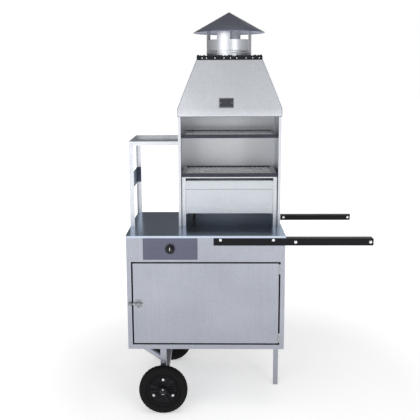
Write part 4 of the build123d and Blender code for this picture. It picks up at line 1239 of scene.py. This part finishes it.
edge_round.limit_method = "ANGLE"
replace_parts(knob_piece, "knob")
print("knob radius", round(knob_radius, 4))

# %% Knob pointer
# the pointer is a painted mark and a painted highlight
POINTER_HALF = 0.0013
pointer = bmesh.new()
pointer_low, pointer_high = knob_radius * -0.1, knob_radius * 0.62
add_block(pointer, (knob_middle.x - POINTER_HALF, low.y + 0.0001, knob_middle.z + pointer_low),
          (knob_middle.x + POINTER_HALF, low.y + 0.0008, knob_middle.z + pointer_high))
new_piece("knob_pointer", pointer, "pointer_paint_and_highlight", "knob", smooth=False)
print("pointer", POINTER_HALF * 2, "m wide")

# %% [markdown]
# ## Badge
#
# A small enamelled plate sits on the hood. It is left blank: one dark colour with a raised
# plain border, held by two pins. The hood leans back, so the plate's own face gives the
# directions across it and up it.

# %% The badge's face
low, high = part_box("badge")
badge_middle = (low + high) / 2
plate = nodes["badge"].data
front_faces = [face for face in plate.polygons if face.normal.y < -0.5]
front_normal = max(front_faces, key=lambda face: face.area).normal.copy()
face_depth = max(vert.co.dot(front_normal) for vert in plate.vertices)
across = Vector((1, 0, 0))
upward = front_normal.cross(across).normalized()
if upward.z < 0:
    upward = -upward
width = high.x - low.x
height = Vector((0, high.y - low.y, high.z - low.z)).length


def on_badge(x, y, lift):
    """A point on the badge's face: shares of its half width and half height, and a lift."""
    point = badge_middle + across * (x * width / 2) + upward * (y * height / 2)
    return point + front_normal * (face_depth + lift - point.dot(front_normal))


print("badge", round(width, 3), "by", round(height, 3))

# %% Badge border and pins
BORDER_SPANS = (               # left, right, bottom and top, as shares from the middle
    (-0.97, 0.97, 0.80, 0.94), (-0.97, 0.97, -0.94, -0.80),
    (-0.97, -0.90, -0.80, 0.80), (0.90, 0.97, -0.80, 0.80))
SUNK, RAISED = -0.0002, 0.0005
border = bmesh.new()
for left, right, bottom, top in BORDER_SPANS:
    outline = ((left, bottom), (right, bottom), (right, top), (left, top))
    close_box(border, [on_badge(x, y, lift) for lift in (SUNK, RAISED) for x, y in outline])
new_piece("badge_border", border, "zinc_painted_shade", "cart", smooth=False)
pins = bmesh.new()
for x in (-0.76, 0.76):
    turn(pins, dome_profile(0.0022, 0.0012), on_badge(x, 0, 0), front_normal, steps=16)
new_piece("badge_pins", pins, "zinc", "cart")
dressed("badge", "badge")
print("badge dressed, with a border of", len(BORDER_SPANS), "strips")

# %% [markdown]
# ## Weld beads
#
# Tube is joined to tube by a bead of weld: a row of small overlapping ripples. Each bead is
# a tube whose radius rises and falls along its path, set in the corner of the joint.


# %% Weld beads
BEAD_RADIUS = 0.0022
BEAD_STEP = 0.0012


def add_bead(shape, start, end):
    """One straight weld bead with its ripples, thinner at its two ends."""
    start, end = Vector(start), Vector(end)
    length = (end - start).length
    steps = max(6, int(length / BEAD_STEP))
    matrix = facing_matrix(start, end - start)
    rings = []
    for k in range(steps + 1):
        ripple = 0.78 + 0.22 * sin(k * 2.1)
        taper = min(1.0, 0.35 + 3 * min(k, steps - k) / steps)
        rings.append([shape.verts.new(matrix @ point)
                      for point in circle(8, BEAD_RADIUS * ripple * taper, length * k / steps)])
    skin(shape, rings)
    cap_ends(shape, rings)


POST_SIDE = 0.030
END_CLEAR = 0.002              # a bead stops this far from a tube's corner
welds = bmesh.new()
post_low, post_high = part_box("wheel_posts")
for y0 in (post_low.y, post_high.y - POST_SIDE):
    top = post_high.z - 0.0012
    x0, x1, y1 = post_low.x, post_high.x, y0 + POST_SIDE
    for x in (x0, x1):
        add_bead(welds, (x, y0 + END_CLEAR, top), (x, y1 - END_CLEAR, top))
    inner_y = y1 if y0 < 0 else y0
    add_bead(welds, (x0 + END_CLEAR, inner_y, top), (x1 - END_CLEAR, inner_y, top))
beam_low, beam_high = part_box("axle_beam")
for y in (beam_low.y, beam_high.y):
    for x in (beam_low.x, beam_high.x):
        add_bead(welds, (x, y, beam_low.z + 0.003), (x, y, beam_high.z - 0.003))
    add_bead(welds, (beam_low.x + 0.003, y, beam_high.z), (beam_high.x - 0.003, y, beam_high.z))
leg_low, leg_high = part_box("support_leg")
top = leg_high.z - 0.001
add_bead(welds, (leg_low.x, leg_low.y + END_CLEAR, top), (leg_low.x, leg_high.y - END_CLEAR, top))
for y in (leg_low.y, leg_high.y):
    add_bead(welds, (leg_low.x + END_CLEAR, y, top), (leg_high.x - END_CLEAR, y, top))
new_piece("weld_beads", welds, "weld_metal", "cart", angle=60)
print("welds on posts, beam and leg")

# %% [markdown]
# ## Camera
#
# The camera stands in front of the cart at about head height and looks a little down.

# %% Camera
camera_data = bpy.data.cameras.new("camera")
camera = add_object("camera", camera_data)
yaw, pitch, roll = radians(-1.227), radians(9.833), radians(-0.328)
ahead = Vector((sin(yaw) * cos(pitch), cos(yaw) * cos(pitch), -sin(pitch)))
level_right = Vector((cos(yaw), -sin(yaw), 0))
level_up = level_right.cross(ahead)
right = level_right * cos(roll) + level_up * sin(roll)
up = level_up * cos(roll) - level_right * sin(roll)
pose = Matrix((right, up, -ahead)).transposed().to_4x4()
stand = (-0.181, -3.516, 1.7355)
camera.matrix_world = Matrix.Translation(stand) @ pose
camera_data.lens = 56.88
camera_data.sensor_width = 36.0
camera_data.shift_x = 0.0269
camera_data.shift_y = -0.0538
camera_data.clip_end = 200.0
bpy.context.scene.camera = camera
print("camera at", tuple(round(v, 3) for v in camera.location))

# %% [markdown]
# ## Floor, world and lights
#
# A plain pale floor and soft boxes all round: metal shows what it reflects, so the boxes
# are as much a part of its look as its own colour. The world is brightest in front of the
# cart and dimmest behind it, so the worktop mirrors a dark room at its back and the round
# chimney darkens at its sides. Far from the cart the floor fades into the background.

# %% Floor
floor_mesh = bpy.data.meshes.new("floor")
span = 40.0
floor_mesh.from_pydata([(-span, -span, 0), (span, -span, 0), (span, span, 0), (-span, span, 0)],
                       [], [(0, 1, 2, 3)])
floor = add_object("floor", floor_mesh)
floor_paint, tree, shader, where = new_material("floor_paint")
mottle = add(tree, "TexNoise", {"Vector": where, "Scale": 1.5, "Detail": 4.0})
tree.links.new(mix_colour(tree, mottle.outputs["Fac"], (0.90, 0.90, 0.90), (0.94, 0.94, 0.94)),
               shader.inputs["Base Color"])
shader.inputs["Roughness"].default_value = 0.8
far = add(tree, "VectorMath", {0: where}, operation="LENGTH").outputs["Value"]
glow = add(tree, "MapRange", {"Value": far, "From Min": 0.9, "From Max": 2.6, "To Min": 0.42,
           "To Max": 0.9})
glow_colour = add(tree, "CombineColor", {"Red": glow.outputs[0], "Green": glow.outputs[0],
                  "Blue": glow.outputs[0]})
tree.links.new(glow_colour.outputs[0], shader.inputs["Emission Color"])
shader.inputs["Emission Strength"].default_value = 1.0
floor_mesh.materials.append(floor_paint)
print("floor", span * 2, "m across")

# %% World
world = bpy.data.worlds.new("studio")
bpy.context.scene.world = world
world.use_nodes = True
tree = world.node_tree
direction = add(tree, "TexCoord").outputs["Generated"]
parts = add(tree, "SeparateXYZ", {0: direction})
overhead = add(tree, "MapRange", {"Value": parts.outputs["Z"], "From Min": -0.1,
               "From Max": 0.9, "To Min": 0.62, "To Max": 0.72})
behind = add(tree, "MapRange", {"Value": parts.outputs["Y"], "From Min": -0.9, "From Max": 0.5,
             "To Min": 0.85, "To Max": 0.26})
strength = maths(tree, "MULTIPLY", overhead.outputs[0], behind.outputs[0])
seen = add(tree, "LightPath").outputs["Is Camera Ray"]
strength = add(tree, "Mix", {"Factor": seen, "A": strength, "B": 1.0}).outputs[0]
background = tree.nodes["Background"]
background.inputs["Color"].default_value = (1.0, 1.0, 1.0, 1.0)
tree.links.new(strength, background.inputs["Strength"])
print("world from dim to bright")


# %% Soft boxes
def soft_box(name, place_at, aim, size, power):
    """A rectangular area light that looks at a point."""
    lamp = bpy.data.lights.new(name, "AREA")
    lamp.shape = "RECTANGLE"
    lamp.size, lamp.size_y = size
    lamp.energy = power
    holder = add_object(name, lamp)
    look = Vector(aim) - Vector(place_at)
    holder.rotation_euler = look.to_track_quat("-Z", "Y").to_euler()
    holder.location = place_at


soft_box("key_box", (-2.4, -4.4, 2.2), (0, 0, 1.1), (3.0, 3.0), 62)
soft_box("strip_box", (1.9, -3.6, 1.9), (0, 0, 1.2), (0.8, 2.4), 26)
soft_box("top_box", (0, -0.6, 4.6), (0, 0, 0), (3.5, 3.0), 34)
soft_box("back_box", (1.5, 4.6, 2.6), (0, 0, 1.0), (3.0, 2.4), 15)
bpy.context.scene.view_settings.view_transform = "Standard"
print("four soft boxes")
